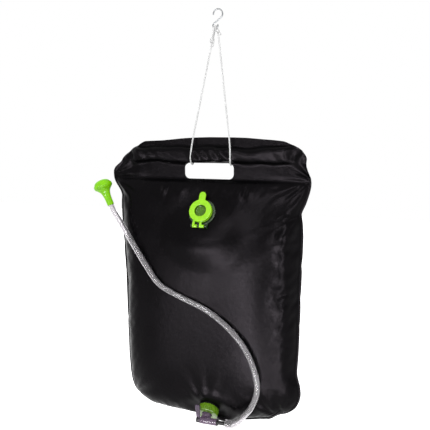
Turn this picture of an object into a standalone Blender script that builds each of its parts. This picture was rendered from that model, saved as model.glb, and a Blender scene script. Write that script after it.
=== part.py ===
"""Camp shower bag: a welded film bag that hangs from a hook by a cord.

The chamber is filled at the top and emptied at the bottom through a tap, a hose and a spray head.
Lengths are in metres and +Z is up. The front faces -Y, and the origin is where the hook hangs.
"""
import math

import bmesh
import bpy
from mathutils import Matrix, Vector

# Fits that all pieces share
clearance = 0.0003
cut_overrun = 0.002
merge_distance = 0.00001

# Facets
ring_segments = 28
fine_segments = 20
arc_steps = 5

# S-hook
hook_wire_radius = 0.0012
hook_bend_radius = 0.0090
hook_tip_angle = math.radians(190)
hook_leave_angle = math.radians(-38)
hook_steps = 14
eye_radius = 0.0049
eye_shift = -0.0049
eye_drop = 0.0285
eye_start_angle = math.radians(128)
eye_end_angle = math.radians(392)

# Suspension cord and its two knots at the hook
cord_radius = 0.0015
cord_pitch = 0.0120
cord_turn_gap = 0.0008
cord_spacing = 0.00175
cord_crossing_drop = 0.0006
bight_knot_height = 0.0230
bight_knot_radius = 0.0041
bight_lean = -0.0046
hitch_knot_radius = 0.0031
hitch_knot_drop = 0.0064
hitch_lean = 0.0033
knot_stretch_share = 1.25

# Where the bag hangs under the hook
bag_shift_x = -0.0210
bag_shift_y = 0.0087
weld_drop = 0.3144

# Film, welds and chamber
film_thickness = 0.0006
weld_gap = 0.0003
weld_width = 0.0040
chamber_height = 0.4685
chamber_thickness = 0.1000
top_half_width = 0.2000
upper_half_width = 0.1850
lower_half_width = 0.1770
corner_flare_length = 0.0330
bottom_corner_radius = 0.0500
side_fullness = 5.0
side_roundness = 0.9
top_fullness = 2.5
top_roundness = 0.6
bottom_fullness = 3.6
bottom_roundness = 0.55

# Header with its grip sleeve and hand hole
header_height = 0.0800
header_corner_radius = 0.0780
header_droop = 0.0060
grip_height = 0.0478
sleeve_half_height = 0.0155
sleeve_gap = 0.0006
sleeve_run_out = 0.0240
sleeve_end_margin = 0.0140
hole_half_width = 0.0500
hole_bottom = 0.0015
hole_top = 0.0322
hole_corner_radius = 0.0100
cord_slot_radius = 0.0034
cord_slot_rise = 0.0005
left_slot_x = -0.0388
right_slot_x = 0.0440

# Grip tube and its plugs
grip_radius = 0.0100
grip_bore_radius = 0.0080
grip_end_margin = 0.0600
plug_spigot_length = 0.0070
plug_head_thickness = 0.0016

# Filler: a rimmed neck on the film, a snap ring with a hinge bar, and the cap
filler_shift_x = -0.0010
filler_depth_below_weld = 0.0600
filler_tilt = math.radians(26)
filler_rim_radius = 0.0260
filler_rim_thickness = 0.0012
filler_neck_radius = 0.0180
filler_bore_radius = 0.0134
filler_neck_height = 0.0100
port_spigot_depth = 0.0025
tether_ring_wall = 0.0022
tether_ring_height = 0.0022
cap_hinge_distance = 0.0290
cap_hinge_height = 0.0058
hinge_bar_radius = 0.0012
hinge_lug_spread = 0.0150
hinge_lug_thickness = 0.0018
hinge_lug_margin = 0.0014
cap_radius = 0.0220
cap_skirt_gap = 0.0006
cap_skirt_bottom = 0.0044
cap_top_thickness = 0.0027
cap_edge_round = 0.0014
cap_plug_gap = 0.0004
cap_plug_taper = 0.0005
cap_plug_bottom = 0.0045
cap_cup_wall = 0.0016
cap_floor_thickness = 0.0012
tab_half_width = 0.0064
tab_length = 0.0151
tab_thickness = 0.0022
tab_rib_width = 0.0022
tab_pocket_depth = 0.0008
tail_width = 0.0042
tail_thickness = 0.0020
knuckle_radius = 0.0030
knuckle_length = 0.0090
left_tail_x = -0.0128
right_tail_x = 0.0010

# Outlet: a rimmed neck on the film, a gasket and the screw collar
outlet_shift_x = 0.0090
outlet_rise = 0.0215
outlet_tilt = math.radians(35)
outlet_rim_radius = 0.0190
outlet_rim_thickness = 0.0014
outlet_neck_radius = 0.0150
outlet_spigot_radius = 0.0115
outlet_bore_radius = 0.0095
outlet_neck_height = 0.0105
gasket_wall = 0.0036
gasket_thickness = 0.0014
collar_radius = 0.0205
collar_rib_depth = 0.0009
collar_rib_count = 28
collar_back = 0.0030
collar_lip_thickness = 0.0028
collar_thread_gap = 0.0004
patch_margin = 0.0160
patch_blend = 0.0240

# Tap: clamped body with a cross barrel, a spindle with a lever, and the hose barb
tap_flange_thickness = 0.0022
tap_neck_radius = 0.0096
tap_neck_length = 0.0090
tap_inlet_radius = 0.0060
barrel_offset = 0.0130
barrel_radius = 0.0066
barrel_bore_radius = 0.0045
barrel_left = 0.0098
barrel_right = 0.0245
spindle_radius = 0.0042
spindle_end = 0.0165
spindle_bore_radius = 0.0026
spindle_port_radius = 0.0021
o_ring_radius = 0.0005
o_ring_seat_gap = 0.0002
o_ring_groove_half_width = 0.0008
left_o_ring_x = -0.0074
right_o_ring_x = 0.0125
hub_radius = 0.0057
hub_length = 0.0070
blade_reach = 0.0320
blade_lean = math.radians(26)
blade_root_width = 0.0060
blade_tip_width = 0.0100
blade_thickness = 0.0030
blade_corner = 0.0018
barb_spigot_length = 0.0075
barb_flange_thickness = 0.0016
barb_stem_radius = 0.0038
barb_ridge_radius = 0.0046
barb_ridge_length = 0.0040
barb_ridge_count = 3
barb_crest_share = 0.2
barb_first_ridge = 0.0150
barb_bore_radius = 0.0026

# Hose and spray head
hose_radius = 0.0055
hose_bore_radius = 0.0040
hose_pitch = 0.0220
hose_cuff_radius = 0.0076
hose_cuff_length = 0.0150
head_socket_depth = 0.0100
head_neck_wall = 0.0009
head_length = 0.0447
head_radius = 0.0186
head_bore_radius = 0.0040
rose_height = 0.0083
rose_wall = 0.0020
rose_seat_depth = 0.0055
rose_edge_wall = 0.0021
rose_hole_radius = 0.0008
rose_hole_rings = ((0.0045, 6), (0.0090, 12))
seal_thickness = 0.0008
seal_wall = 0.0012
head_outline_shares = ((0.925, 1.0), (0.978, 0.95), (1.0, 0.885), (0.93, 0.815), (0.73, 0.74),
                       (0.53, 0.63), (0.42, 0.49))
head_funnel_share = 0.49
head_funnel_end_share = 0.72
head_funnel_width_share = 0.6
rose_dome_shares = ((0.0, 1.0), (0.38, 0.93), (0.70, 0.72), (0.90, 0.40), (1.0, 0.0))

# Grid of the film, as shares of its half width and of the heights of chamber and header
front_columns_shares = (
    -1.0, -0.965, -0.89, -0.78, -0.64, -0.48, -0.33, -0.20, -0.10,
    0.0, 0.10, 0.20, 0.33, 0.48, 0.64, 0.78, 0.89, 0.965, 1.0)
back_columns_shares = (
    -1.0, -0.965, -0.89, -0.76, -0.58, -0.38, -0.19, 0.0, 0.19, 0.38, 0.58, 0.76, 0.89, 0.965, 1.0)
front_rows_shares = (
    0.0, 0.014, 0.045, 0.08, 0.115, 0.15, 0.19, 0.25, 0.33, 0.43, 0.53, 0.63, 0.72, 0.80,
    0.86, 0.90, 0.925, 0.945, 0.9625, 0.98, 0.997, 1.0)
back_rows_shares = (
    0.0, 0.014, 0.045, 0.085, 0.13, 0.19, 0.28, 0.40, 0.52, 0.64, 0.75, 0.84, 0.90, 0.945, 0.98, 1.0)
header_rows_shares = (0.0, 0.20, 0.40, 0.445, 0.51, 0.60, 0.69, 0.752, 0.792, 0.90, 1.0)

# Values that follow from the ones above
outlet_depth_below_weld = chamber_height - outlet_rise
grip_half_length = top_half_width - grip_end_margin
cord_turn_radius = hook_wire_radius + cord_turn_gap + cord_radius
cord_turn_height = -eye_drop - cord_crossing_drop - cord_turn_radius
bight_top = Vector((eye_shift - cord_spacing, 0, cord_turn_height))
bight_knot = bight_top + Vector((bight_lean, 0, -bight_knot_height))
hitch_top = Vector((eye_shift + cord_spacing, 0, cord_turn_height))
hitch_knot = hitch_top + Vector((hitch_lean, 0, -hitch_knot_drop))
sleeve_depth = grip_radius + sleeve_gap
sleeve_half_length = grip_half_length + sleeve_end_margin
chamber_depth = chamber_thickness / 2 - film_thickness
cap_top = filler_neck_height + clearance + cap_top_thickness
gasket_back = outlet_neck_height + clearance
tap_flange_back = gasket_back + gasket_thickness + clearance
tap_flange_front = tap_flange_back + tap_flange_thickness
tap_flange_radius = outlet_neck_radius - clearance
collar_lip_back = tap_flange_front + clearance
collar_front = collar_lip_back + collar_lip_thickness
barrel_height = collar_front + barrel_offset
barb_flange_x = barrel_right + clearance
barb_tip_x = barb_flange_x + barb_flange_thickness + barb_first_ridge + barb_ridge_count * barb_ridge_length
hose_start_x = barb_flange_x + barb_flange_thickness + barb_first_ridge
head_socket_radius = hose_radius + clearance

# Route of the suspension cord in the bag's frame, from under the left knot to under the right one
cord_route = [
    (0.0014, -0.0095, 0.2188), (-0.0058, -0.0102, 0.1844), (-0.0150, -0.0112, 0.1404),
    (-0.0224, -0.0123, 0.1054), (-0.0277, -0.0130, 0.0800), (-0.0300, -0.0134, 0.0674),
    (-0.0325, -0.0136, 0.0504), (-0.0334, -0.0128, 0.0419), (-0.0339, -0.0099, 0.0354),
    (-0.0342, -0.0048, 0.0303), (-0.0345, 0.0000, 0.0290), (-0.0350, 0.0048, 0.0303),
    (-0.0357, 0.0094, 0.0354), (-0.0367, 0.0128, 0.0419), (-0.0378, 0.0136, 0.0484),
    (-0.0385, 0.0131, 0.0530), (-0.0387, 0.0102, 0.0573), (-0.0382, 0.0055, 0.0594),
    (-0.0360, 0.0020, 0.0598), (-0.0323, 0.0003, 0.0597), (-0.0283, 0.0000, 0.0597),
    (-0.0150, 0.0000, 0.0597), (0.0030, 0.0000, 0.0597), (0.0210, 0.0000, 0.0597),
    (0.0335, 0.0000, 0.0597), (0.0375, 0.0003, 0.0597), (0.0412, 0.0020, 0.0598),
    (0.0434, 0.0055, 0.0594), (0.0439, 0.0102, 0.0573), (0.0440, 0.0131, 0.0530),
    (0.0440, 0.0136, 0.0484), (0.0440, 0.0128, 0.0419), (0.0441, 0.0094, 0.0354),
    (0.0443, 0.0048, 0.0303), (0.0445, 0.0000, 0.0290), (0.0450, -0.0048, 0.0303),
    (0.0459, -0.0099, 0.0354), (0.0466, -0.0128, 0.0419), (0.0469, -0.0136, 0.0504),
    (0.0460, -0.0134, 0.0690), (0.0430, -0.0127, 0.0948), (0.0408, -0.0122, 0.1134),
    (0.0364, -0.0114, 0.1500), (0.0316, -0.0106, 0.1900), (0.0262, -0.0096, 0.2350)]

# Route of the hose in the bag's frame, from beyond the barb to the socket of the spray head
hose_route = [
    (0.0765, -0.0498, -0.4568), (0.0890, -0.0504, -0.4418), (0.1035, -0.0517, -0.4222),
    (0.1149, -0.0545, -0.3875), (0.1100, -0.0565, -0.3496), (0.0911, -0.0573, -0.3083),
    (0.0577, -0.0575, -0.2712), (0.0139, -0.0575, -0.2413), (-0.0392, -0.0573, -0.2200),
    (-0.0817, -0.0562, -0.1997), (-0.1128, -0.0530, -0.1635), (-0.1500, -0.0485, -0.1111),
    (-0.1700, -0.0465, -0.0822), (-0.1812, -0.0457, -0.0668), (-0.1880, -0.0452, -0.0548),
    (-0.1938, -0.0449, -0.0425)]


def make_material(name, colour, roughness, metallic=0.0, alpha=1.0):
    """Returns a Principled material."""
    material = bpy.data.materials.new(name)
    material.use_nodes = True
    shader = material.node_tree.nodes["Principled BSDF"]
    shader.inputs["Base Color"].default_value = (*colour, 1.0)
    shader.inputs["Roughness"].default_value = roughness
    shader.inputs["Metallic"].default_value = metallic
    shader.inputs["Alpha"].default_value = alpha
    return material


def add_object(name, data, collection, parent=None, material=None):
    """Links a new object and gives it its parent and material."""
    new_object = bpy.data.objects.new(name, data)
    collection.objects.link(new_object)
    new_object.parent = parent
    if material is not None:
        data.materials.append(material)
    return new_object


def add_frame(name, collection, parent, origin, normal):
    """Returns an empty at origin with +Z along normal and +X as near to the parent's as it can be."""
    frame = bpy.data.objects.new(name, None)
    collection.objects.link(frame)
    frame.parent = parent
    upward = normal.cross(Vector((1, 0, 0))).normalized()
    across = upward.cross(normal)
    axes = Matrix((across, upward, normal)).transposed().to_4x4()
    frame.matrix_local = Matrix.Translation(origin) @ axes
    return frame


def shade_round(mesh):
    """Shades a mesh smooth and keeps its hard edges."""
    mesh.shade_smooth()
    mesh.set_sharp_from_angle(angle=math.radians(35))


def mesh_from_bmesh(name, shape):
    """Turns a bmesh into mesh data."""
    mesh = bpy.data.meshes.new(name)
    shape.to_mesh(mesh)
    shape.free()
    shade_round(mesh)
    return mesh


def revolve(name, profile, collection, parent, material=None, segments=ring_segments):
    """Turns a closed profile of (radius, height) points about local Z with a Screw modifier."""
    shape = bmesh.new()
    points = [shape.verts.new((radius, 0, height)) for radius, height in profile]
    on_axis = profile[0][0] == 0 and profile[-1][0] == 0
    for first, second in zip(points, points[1:]):
        shape.edges.new((first, second))
    if not on_axis:
        shape.edges.new((points[-1], points[0]))
    turned = add_object(name, mesh_from_bmesh(name, shape), collection, parent, material)
    screw = turned.modifiers.new("turn", "SCREW")
    screw.steps = segments
    screw.render_steps = segments
    screw.use_merge_vertices = True
    screw.merge_threshold = merge_distance
    screw.use_smooth_shade = True
    return turned


def cylinder_mesh(name, radius, low, high, segments=ring_segments, end_radius=None):
    """Returns a cylinder or cone along Z from low to high."""
    shape = bmesh.new()
    bmesh.ops.create_cone(
        shape, cap_ends=True, segments=segments, radius1=radius,
        radius2=radius if end_radius is None else end_radius, depth=high - low,
        matrix=Matrix.Translation((0, 0, (low + high) / 2)))
    return mesh_from_bmesh(name, shape)


def box_mesh(name, low, high):
    """Returns a box between two corners."""
    shape = bmesh.new()
    low, high = Vector(low), Vector(high)
    bmesh.ops.create_cube(shape, size=1)
    bmesh.ops.scale(shape, vec=high - low, verts=shape.verts)
    bmesh.ops.translate(shape, vec=(low + high) / 2, verts=shape.verts)
    return mesh_from_bmesh(name, shape)


def rounded_outline(corners, radius, steps=arc_steps):
    """Returns a closed outline through the corners, each rounded with an arc."""
    outline = []
    count = len(corners)
    for index, corner in enumerate(corners):
        corner = Vector(corner)
        to_last = (Vector(corners[index - 1]) - corner).normalized()
        to_next = (Vector(corners[(index + 1) % count]) - corner).normalized()
        half_angle = to_last.angle(to_next) / 2
        centre = corner + (to_last + to_next).normalized() * radius / math.sin(half_angle)
        start = corner + to_last * radius / math.tan(half_angle) - centre
        end = corner + to_next * radius / math.tan(half_angle) - centre
        sweep = start.angle_signed(end)
        for step in range(steps + 1):
            turn = Matrix.Rotation(-sweep * step / steps, 2)
            outline.append(tuple(centre + turn @ start))
    return outline


def plate_mesh(name, outline, low, high):
    """Extrudes a closed flat outline along Z from low to high."""
    curve = bpy.data.curves.new(name, "CURVE")
    curve.dimensions = "2D"
    curve.fill_mode = "BOTH"
    curve.extrude = (high - low) / 2
    spline = curve.splines.new("POLY")
    spline.points.add(len(outline) - 1)
    for point, (x, y) in zip(spline.points, outline):
        point.co = (x, y, 0, 1)
    spline.use_cyclic_u = True
    holder = bpy.data.objects.new(name, curve)
    bpy.context.scene.collection.objects.link(holder)
    mesh = curve_to_mesh(holder)
    mesh.transform(Matrix.Translation((0, 0, (low + high) / 2)))
    return mesh


def curve_to_mesh(curve_object):
    """Returns the curve object's evaluated mesh with its caps welded, and removes the object."""
    bpy.context.view_layer.update()
    graph = bpy.context.evaluated_depsgraph_get()
    mesh = bpy.data.meshes.new_from_object(curve_object.evaluated_get(graph))
    shape = bmesh.new()
    shape.from_mesh(mesh)
    bmesh.ops.remove_doubles(shape, verts=shape.verts, dist=merge_distance)
    bmesh.ops.recalc_face_normals(shape, faces=shape.faces)
    shape.to_mesh(mesh)
    shape.free()
    shade_round(mesh)
    bpy.data.objects.remove(curve_object)
    return mesh


def smooth_route(points, pitch):
    """Reads places about a pitch apart from a smooth curve through the points."""
    points = [Vector(point) for point in points]
    ends = [2 * points[0] - points[1]] + points + [2 * points[-1] - points[-2]]
    route = []
    for before, start, end, after in zip(ends, ends[1:], ends[2:], ends[3:]):
        steps = max(1, round((end - start).length / pitch))
        for step in range(steps):
            t = step / steps
            route.append((
                2 * start + (end - before) * t + (2 * before - 5 * start + 4 * end - after) * t ** 2
                + (3 * start - before - 3 * end + after) * t ** 3) / 2)
    route.append(points[-1])
    return route


def tube_curve(name, route, radius, resolution=2, cyclic=False):
    """Returns a round curve with filled caps along a route."""
    curve = bpy.data.curves.new(name, "CURVE")
    curve.dimensions = "3D"
    curve.bevel_depth = radius
    curve.bevel_resolution = resolution
    curve.use_fill_caps = True
    spline = curve.splines.new("POLY")
    spline.points.add(len(route) - 1)
    for point, place in zip(spline.points, route):
        point.co = (*place, 1)
    spline.use_cyclic_u = cyclic
    return curve


def tube_mesh(name, route, radius, resolution=2, cyclic=False):
    """Returns a round tube along a route as a mesh."""
    holder = bpy.data.objects.new(name, tube_curve(name, route, radius, resolution, cyclic))
    bpy.context.scene.collection.objects.link(holder)
    return curve_to_mesh(holder)


def combine(target, tool, operation):
    """Adds an exact Boolean of the tool object to the target."""
    boolean = target.modifiers.new(operation.lower(), "BOOLEAN")
    boolean.operation = operation
    boolean.solver = "EXACT"
    boolean.object = tool
    tool.hide_render = True
    tool.display_type = "WIRE"


def lay_along_x(tool, height=0.0):
    """Turns an object so that its local Z lies along X of its parent, at a height."""
    tool.location = (0, 0, height)
    tool.rotation_euler = (0, math.radians(90), 0)


def smooth_step(value):
    """Runs smoothly from 0 to 1 as the value does."""
    value = min(max(value, 0), 1)
    return value * value * (3 - 2 * value)


def corner_cut(radius, reach):
    """Returns how much a round corner takes off the width at a reach into it."""
    return radius - math.sqrt(max(radius ** 2 - max(reach, 0) ** 2, 0))


def half_width(height):
    """Returns the film's half width at a height over the top weld."""
    if height >= 0:
        return top_half_width - corner_cut(header_corner_radius, height - (header_height - header_corner_radius))
    share = -height / chamber_height
    width = upper_half_width + (lower_half_width - upper_half_width) * share
    width += (top_half_width - upper_half_width) * math.exp(height / corner_flare_length)
    return width - corner_cut(bottom_corner_radius, bottom_corner_radius - chamber_height - height)


def sleeve_bulge(x, height):
    """Returns how far the film stands off over the grip tube."""
    share = abs(height - grip_height) / sleeve_half_height
    if share >= 1:
        return 0
    fade = 1 - smooth_step((abs(x) - sleeve_half_length) / sleeve_run_out)
    return sleeve_depth * (1 - share ** 2) ** 0.6 * fade


def top_edge_droop(x, height):
    """Returns how far the header's edge over the sleeve hangs down towards its ends."""
    sleeve_top = grip_height + sleeve_half_height
    rise_share = max(height - sleeve_top, 0) / (header_height - sleeve_top)
    return header_droop * min((x / grip_half_length) ** 2, 1) * rise_share


def chamber_bulge(x, height):
    """Returns how far the filled chamber stands off at a place."""
    low = -(chamber_height - weld_width)
    if height >= 0 or height <= low:
        return 0
    side_share = abs(x) / (half_width(height) - weld_width)
    if side_share >= 1:
        return 0
    end_share = 2 * height / low - 1
    fullness, roundness = (top_fullness, top_roundness) if end_share < 0 else (bottom_fullness, bottom_roundness)
    across = (1 - side_share ** side_fullness) ** side_roundness
    along = (1 - abs(end_share) ** fullness) ** roundness
    return chamber_depth * across * along


ports = {
    "filler": (filler_shift_x, -filler_depth_below_weld, filler_tilt, filler_rim_radius),
    "outlet": (outlet_shift_x, -outlet_depth_below_weld, -outlet_tilt, outlet_rim_radius),
}


def port_blend(x, height, port):
    """Returns the depth of a port's flat patch at a place, and how much the patch holds there."""
    port_x, port_height, tilt, radius = ports[port]
    rise = (height - port_height) / math.cos(tilt)
    distance = math.hypot(x - port_x, rise)
    hold = 1 - smooth_step((distance - radius - patch_margin) / patch_blend)
    depth = chamber_bulge(port_x, port_height) - (height - port_height) * math.tan(tilt)
    return depth, hold


def front_bulge(x, height):
    """Returns the front film's depth: the chamber, the sleeve, and flat patches at the ports."""
    depth = chamber_bulge(x, height) + sleeve_bulge(x, height)
    if -(chamber_height - weld_width) < height < 0:
        for port in ports:
            patch_depth, hold = port_blend(x, height, port)
            depth += (max(patch_depth, 0) - depth) * hold
    return depth


def back_bulge(x, height):
    """Returns the back film's depth."""
    return chamber_bulge(x, height) + sleeve_bulge(x, height)


def film_rows(chamber_shares):
    """Lists the heights of the film's rows from the top edge down."""
    rows = [header_height * share for share in reversed(header_rows_shares)]
    bulge_height = chamber_height - weld_width
    rows += [-bulge_height * share for share in chamber_shares[1:]]
    rows.append(-chamber_height)
    return rows


def film_panel(name, side, columns, rows, bulge, collection, parent, material):
    """Lofts one film from rows of points and thickens it outwards."""
    shape = bmesh.new()
    grid = []
    for height in rows:
        line = []
        for share in columns:
            x = share * half_width(height)
            depth = weld_gap / 2 + bulge(x, height)
            line.append(shape.verts.new((x, side * depth, height - top_edge_droop(x, height))))
        grid.append(line)
    for upper, lower in zip(grid, grid[1:]):
        for index in range(len(columns) - 1):
            face = [upper[index], lower[index], lower[index + 1], upper[index + 1]]
            shape.faces.new(face if side < 0 else face[::-1])
    panel = add_object(name, mesh_from_bmesh(name, shape), collection, parent, material)
    solid = panel.modifiers.new("film", "SOLIDIFY")
    solid.thickness = film_thickness
    solid.offset = 1
    solid.use_even_offset = True
    return panel


def build_hook(collection, material):
    """Bends the S-hook from one wire: the open bend, the crossing stretch and the eye."""
    bend_centre = Vector((0, 0, hook_wire_radius - hook_bend_radius))
    eye_centre = Vector((eye_shift, 0, -eye_drop))
    route = []
    for step in range(hook_steps + 1):
        angle = hook_tip_angle + (hook_leave_angle - hook_tip_angle) * step / hook_steps
        route.append(bend_centre + hook_bend_radius * Vector((math.cos(angle), 0, math.sin(angle))))
    eye = []
    for step in range(hook_steps + 1):
        angle = eye_start_angle + (eye_end_angle - eye_start_angle) * step / hook_steps
        eye.append(eye_centre + eye_radius * Vector((math.cos(angle), 0, math.sin(angle))))
    route += [(2 * route[-1] + eye[0]) / 3, (route[-1] + 2 * eye[0]) / 3] + eye
    return add_object("s_hook", tube_curve("s_hook", route, hook_wire_radius), collection, None, material)


def knot_mesh(name, radius, centre):
    """Returns a knot as a small stretched ball."""
    shape = bmesh.new()
    bmesh.ops.create_uvsphere(shape, u_segments=12, v_segments=8, radius=radius)
    bmesh.ops.scale(shape, vec=(1, 1, knot_stretch_share), verts=shape.verts)
    bmesh.ops.translate(shape, vec=centre, verts=shape.verts)
    return mesh_from_bmesh(name, shape)


def build_hook_knots(collection, cutters, material):
    """Makes the long bight and the tight hitch that hold the cord's two ends in the hook's eye."""
    loop = []
    for step in range(9):
        angle = math.pi * step / 8
        loop.append(bight_top + cord_turn_radius * Vector((0, math.cos(angle), math.sin(angle))))
    strand_gap = cord_radius + cord_turn_gap
    middle = (bight_top + bight_knot) / 2
    loop += [middle + Vector((0, -strand_gap - clearance, 0)), bight_knot + Vector((0, -strand_gap, 0)),
             bight_knot + Vector((0, strand_gap, 0)), middle + Vector((0, strand_gap + clearance, 0))]
    bight = add_object("hook_bight", tube_mesh("hook_bight", loop, cord_radius, 2, True),
                       collection, None, material)
    knot = add_object("bight_knot_form", knot_mesh("bight_knot_form", bight_knot_radius, bight_knot), cutters)
    combine(bight, knot, "UNION")

    turn = []
    for step in range(16):
        angle = math.tau * step / 16
        drop = 2 * cord_turn_gap if step > 8 else 0
        turn.append(hitch_top + Vector((
            0, cord_turn_radius * math.cos(angle), cord_turn_radius * math.sin(angle) - drop)))
    hitch = add_object("hook_hitch", tube_mesh("hook_hitch", turn, cord_radius, 2, True),
                       collection, None, material)
    knot = add_object("hitch_knot_form", knot_mesh("hitch_knot_form", hitch_knot_radius, hitch_knot), cutters)
    combine(hitch, knot, "UNION")


def knot_exit(knot, radius, towards):
    """Returns the place just under a knot where the cord leaves it."""
    along = (towards - knot).normalized()
    reach = 1 / math.hypot(along.x / radius, along.y / radius, along.z / (radius * knot_stretch_share))
    return knot + along * (reach + clearance)


def build_cord(collection, bag, material):
    """Lays the one suspension cord from knot to knot along its route."""
    left = knot_exit(bight_knot - bag.location, bight_knot_radius, Vector(cord_route[0]))
    right = knot_exit(hitch_knot - bag.location, hitch_knot_radius, Vector(cord_route[-1]))
    curve = tube_curve("suspension_cord", smooth_route([left] + cord_route + [right], cord_pitch), cord_radius)
    return add_object("suspension_cord", curve, collection, bag, material)


def build_panels(collection, cutters, bag, film):
    """Makes both films and cuts the hand hole, the two ports and the cord slots."""
    rows = film_rows(front_rows_shares)
    front = film_panel("front_panel", -1, front_columns_shares, rows, front_bulge, collection, bag, film)
    rows = film_rows(back_rows_shares)
    back = film_panel("back_panel", 1, back_columns_shares, rows, back_bulge, collection, bag, film)
    corners = [(-hole_half_width, hole_bottom), (hole_half_width, hole_bottom),
               (hole_half_width, hole_top), (-hole_half_width, hole_top)]
    reach = sleeve_depth + cut_overrun
    hole = add_object("hand_hole_cut", plate_mesh("hand_hole_cut", rounded_outline(corners, hole_corner_radius),
                                                  -reach, reach), cutters, bag)
    hole.rotation_euler = (math.radians(90), 0, 0)
    combine(front, hole, "DIFFERENCE")
    combine(back, hole, "DIFFERENCE")
    for slot_x in (left_slot_x, right_slot_x):
        slot = add_object("cord_slot_cut", cylinder_mesh("cord_slot_cut", cord_slot_radius, -reach, 0,
                                                         fine_segments), cutters, bag)
        slot.location = (slot_x, 0, grip_height + grip_radius + cord_slot_rise)
        slot.rotation_euler = (math.radians(90), 0, 0)
        combine(back, slot, "DIFFERENCE")
    return front, back


def port_frame(port, collection, bag):
    """Returns an empty on the front film's outer face at a port, with +Z out of the film."""
    port_x, port_height, tilt, _ = ports[port]
    normal = Vector((0, -math.cos(tilt), math.sin(tilt)))
    surface = Vector((port_x, -weld_gap / 2 - chamber_bulge(port_x, port_height), port_height))
    return add_frame(port + "_frame", collection, bag, surface + normal * film_thickness, normal)


def cut_port_hole(front, cutters, frame, radius):
    """Cuts the film where a port's spigot passes."""
    hole = add_object(frame.name + "_cut", cylinder_mesh(frame.name + "_cut", radius + clearance,
                                                         -film_thickness - cut_overrun, cut_overrun),
                      cutters, frame)
    combine(front, hole, "DIFFERENCE")


def build_grip(collection, bag, tube_material, plug_material):
    """Makes the stiff grip tube and a plug for each end."""
    profile = [(grip_radius, grip_half_length), (grip_radius, -grip_half_length),
               (grip_bore_radius, -grip_half_length), (grip_bore_radius, grip_half_length)]
    tube = revolve("grip_tube", profile, collection, bag, tube_material, fine_segments)
    lay_along_x(tube, grip_height)
    head = grip_half_length + clearance
    spigot_radius = grip_bore_radius - clearance
    for name, side in (("left_grip_plug", -1), ("right_grip_plug", 1)):
        profile = [(0, head + plug_head_thickness), (grip_radius, head + plug_head_thickness),
                   (grip_radius, head), (spigot_radius, head), (spigot_radius, head - plug_spigot_length),
                   (0, head - plug_spigot_length)]
        plug = revolve(name, profile, collection, bag, plug_material, fine_segments)
        plug.location = (0, 0, grip_height)
        plug.rotation_euler = (0, side * math.radians(90), 0)


def build_filler(collection, cutters, frame, front, green, dark_green):
    """Makes the filler's rimmed neck, the snap ring with its hinge bar, and the cap."""
    rim_top = clearance + filler_rim_thickness
    profile = [(filler_neck_radius, filler_neck_height), (filler_neck_radius, rim_top),
               (filler_rim_radius, rim_top), (filler_rim_radius, clearance),
               (filler_neck_radius, clearance), (filler_neck_radius, -port_spigot_depth),
               (filler_bore_radius, -port_spigot_depth), (filler_bore_radius, filler_neck_height)]
    revolve("filler_neck", profile, collection, frame, dark_green)
    cut_port_hole(front, cutters, frame, filler_neck_radius)

    ring_bottom = rim_top + clearance
    ring_top = ring_bottom + tether_ring_height
    ring_bore = filler_neck_radius + clearance
    ring_radius = ring_bore + tether_ring_wall
    profile = [(ring_radius, ring_top), (ring_radius, ring_bottom), (ring_bore, ring_bottom), (ring_bore, ring_top)]
    ring = revolve("tether_ring", profile, collection, frame, dark_green)
    arm_root = -math.sqrt(ring_bore ** 2 - hinge_lug_spread ** 2) - tether_ring_wall / 2
    lug_half_length = hinge_bar_radius + hinge_lug_margin
    lug_top = cap_hinge_height + lug_half_length
    for side in (-1, 1):
        inner = side * hinge_lug_spread - hinge_lug_thickness / 2
        outer = inner + hinge_lug_thickness
        arm = add_object("hinge_arm_form", box_mesh(
            "hinge_arm_form", (inner, -cap_hinge_distance, ring_bottom), (outer, arm_root, ring_top)), cutters, frame)
        combine(ring, arm, "UNION")
        lug = add_object("hinge_lug_form", box_mesh(
            "hinge_lug_form", (inner, -cap_hinge_distance - lug_half_length, ring_bottom),
            (outer, -cap_hinge_distance + lug_half_length, lug_top)), cutters, frame)
        combine(ring, lug, "UNION")
    bar = add_object("hinge_bar_form", cylinder_mesh(
        "hinge_bar_form", hinge_bar_radius, -hinge_lug_spread, hinge_lug_spread, fine_segments), cutters, frame)
    lay_along_x(bar, cap_hinge_height)
    bar.location.y = -cap_hinge_distance
    combine(ring, bar, "UNION")
    return build_cap(collection, cutters, frame, green)


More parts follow.
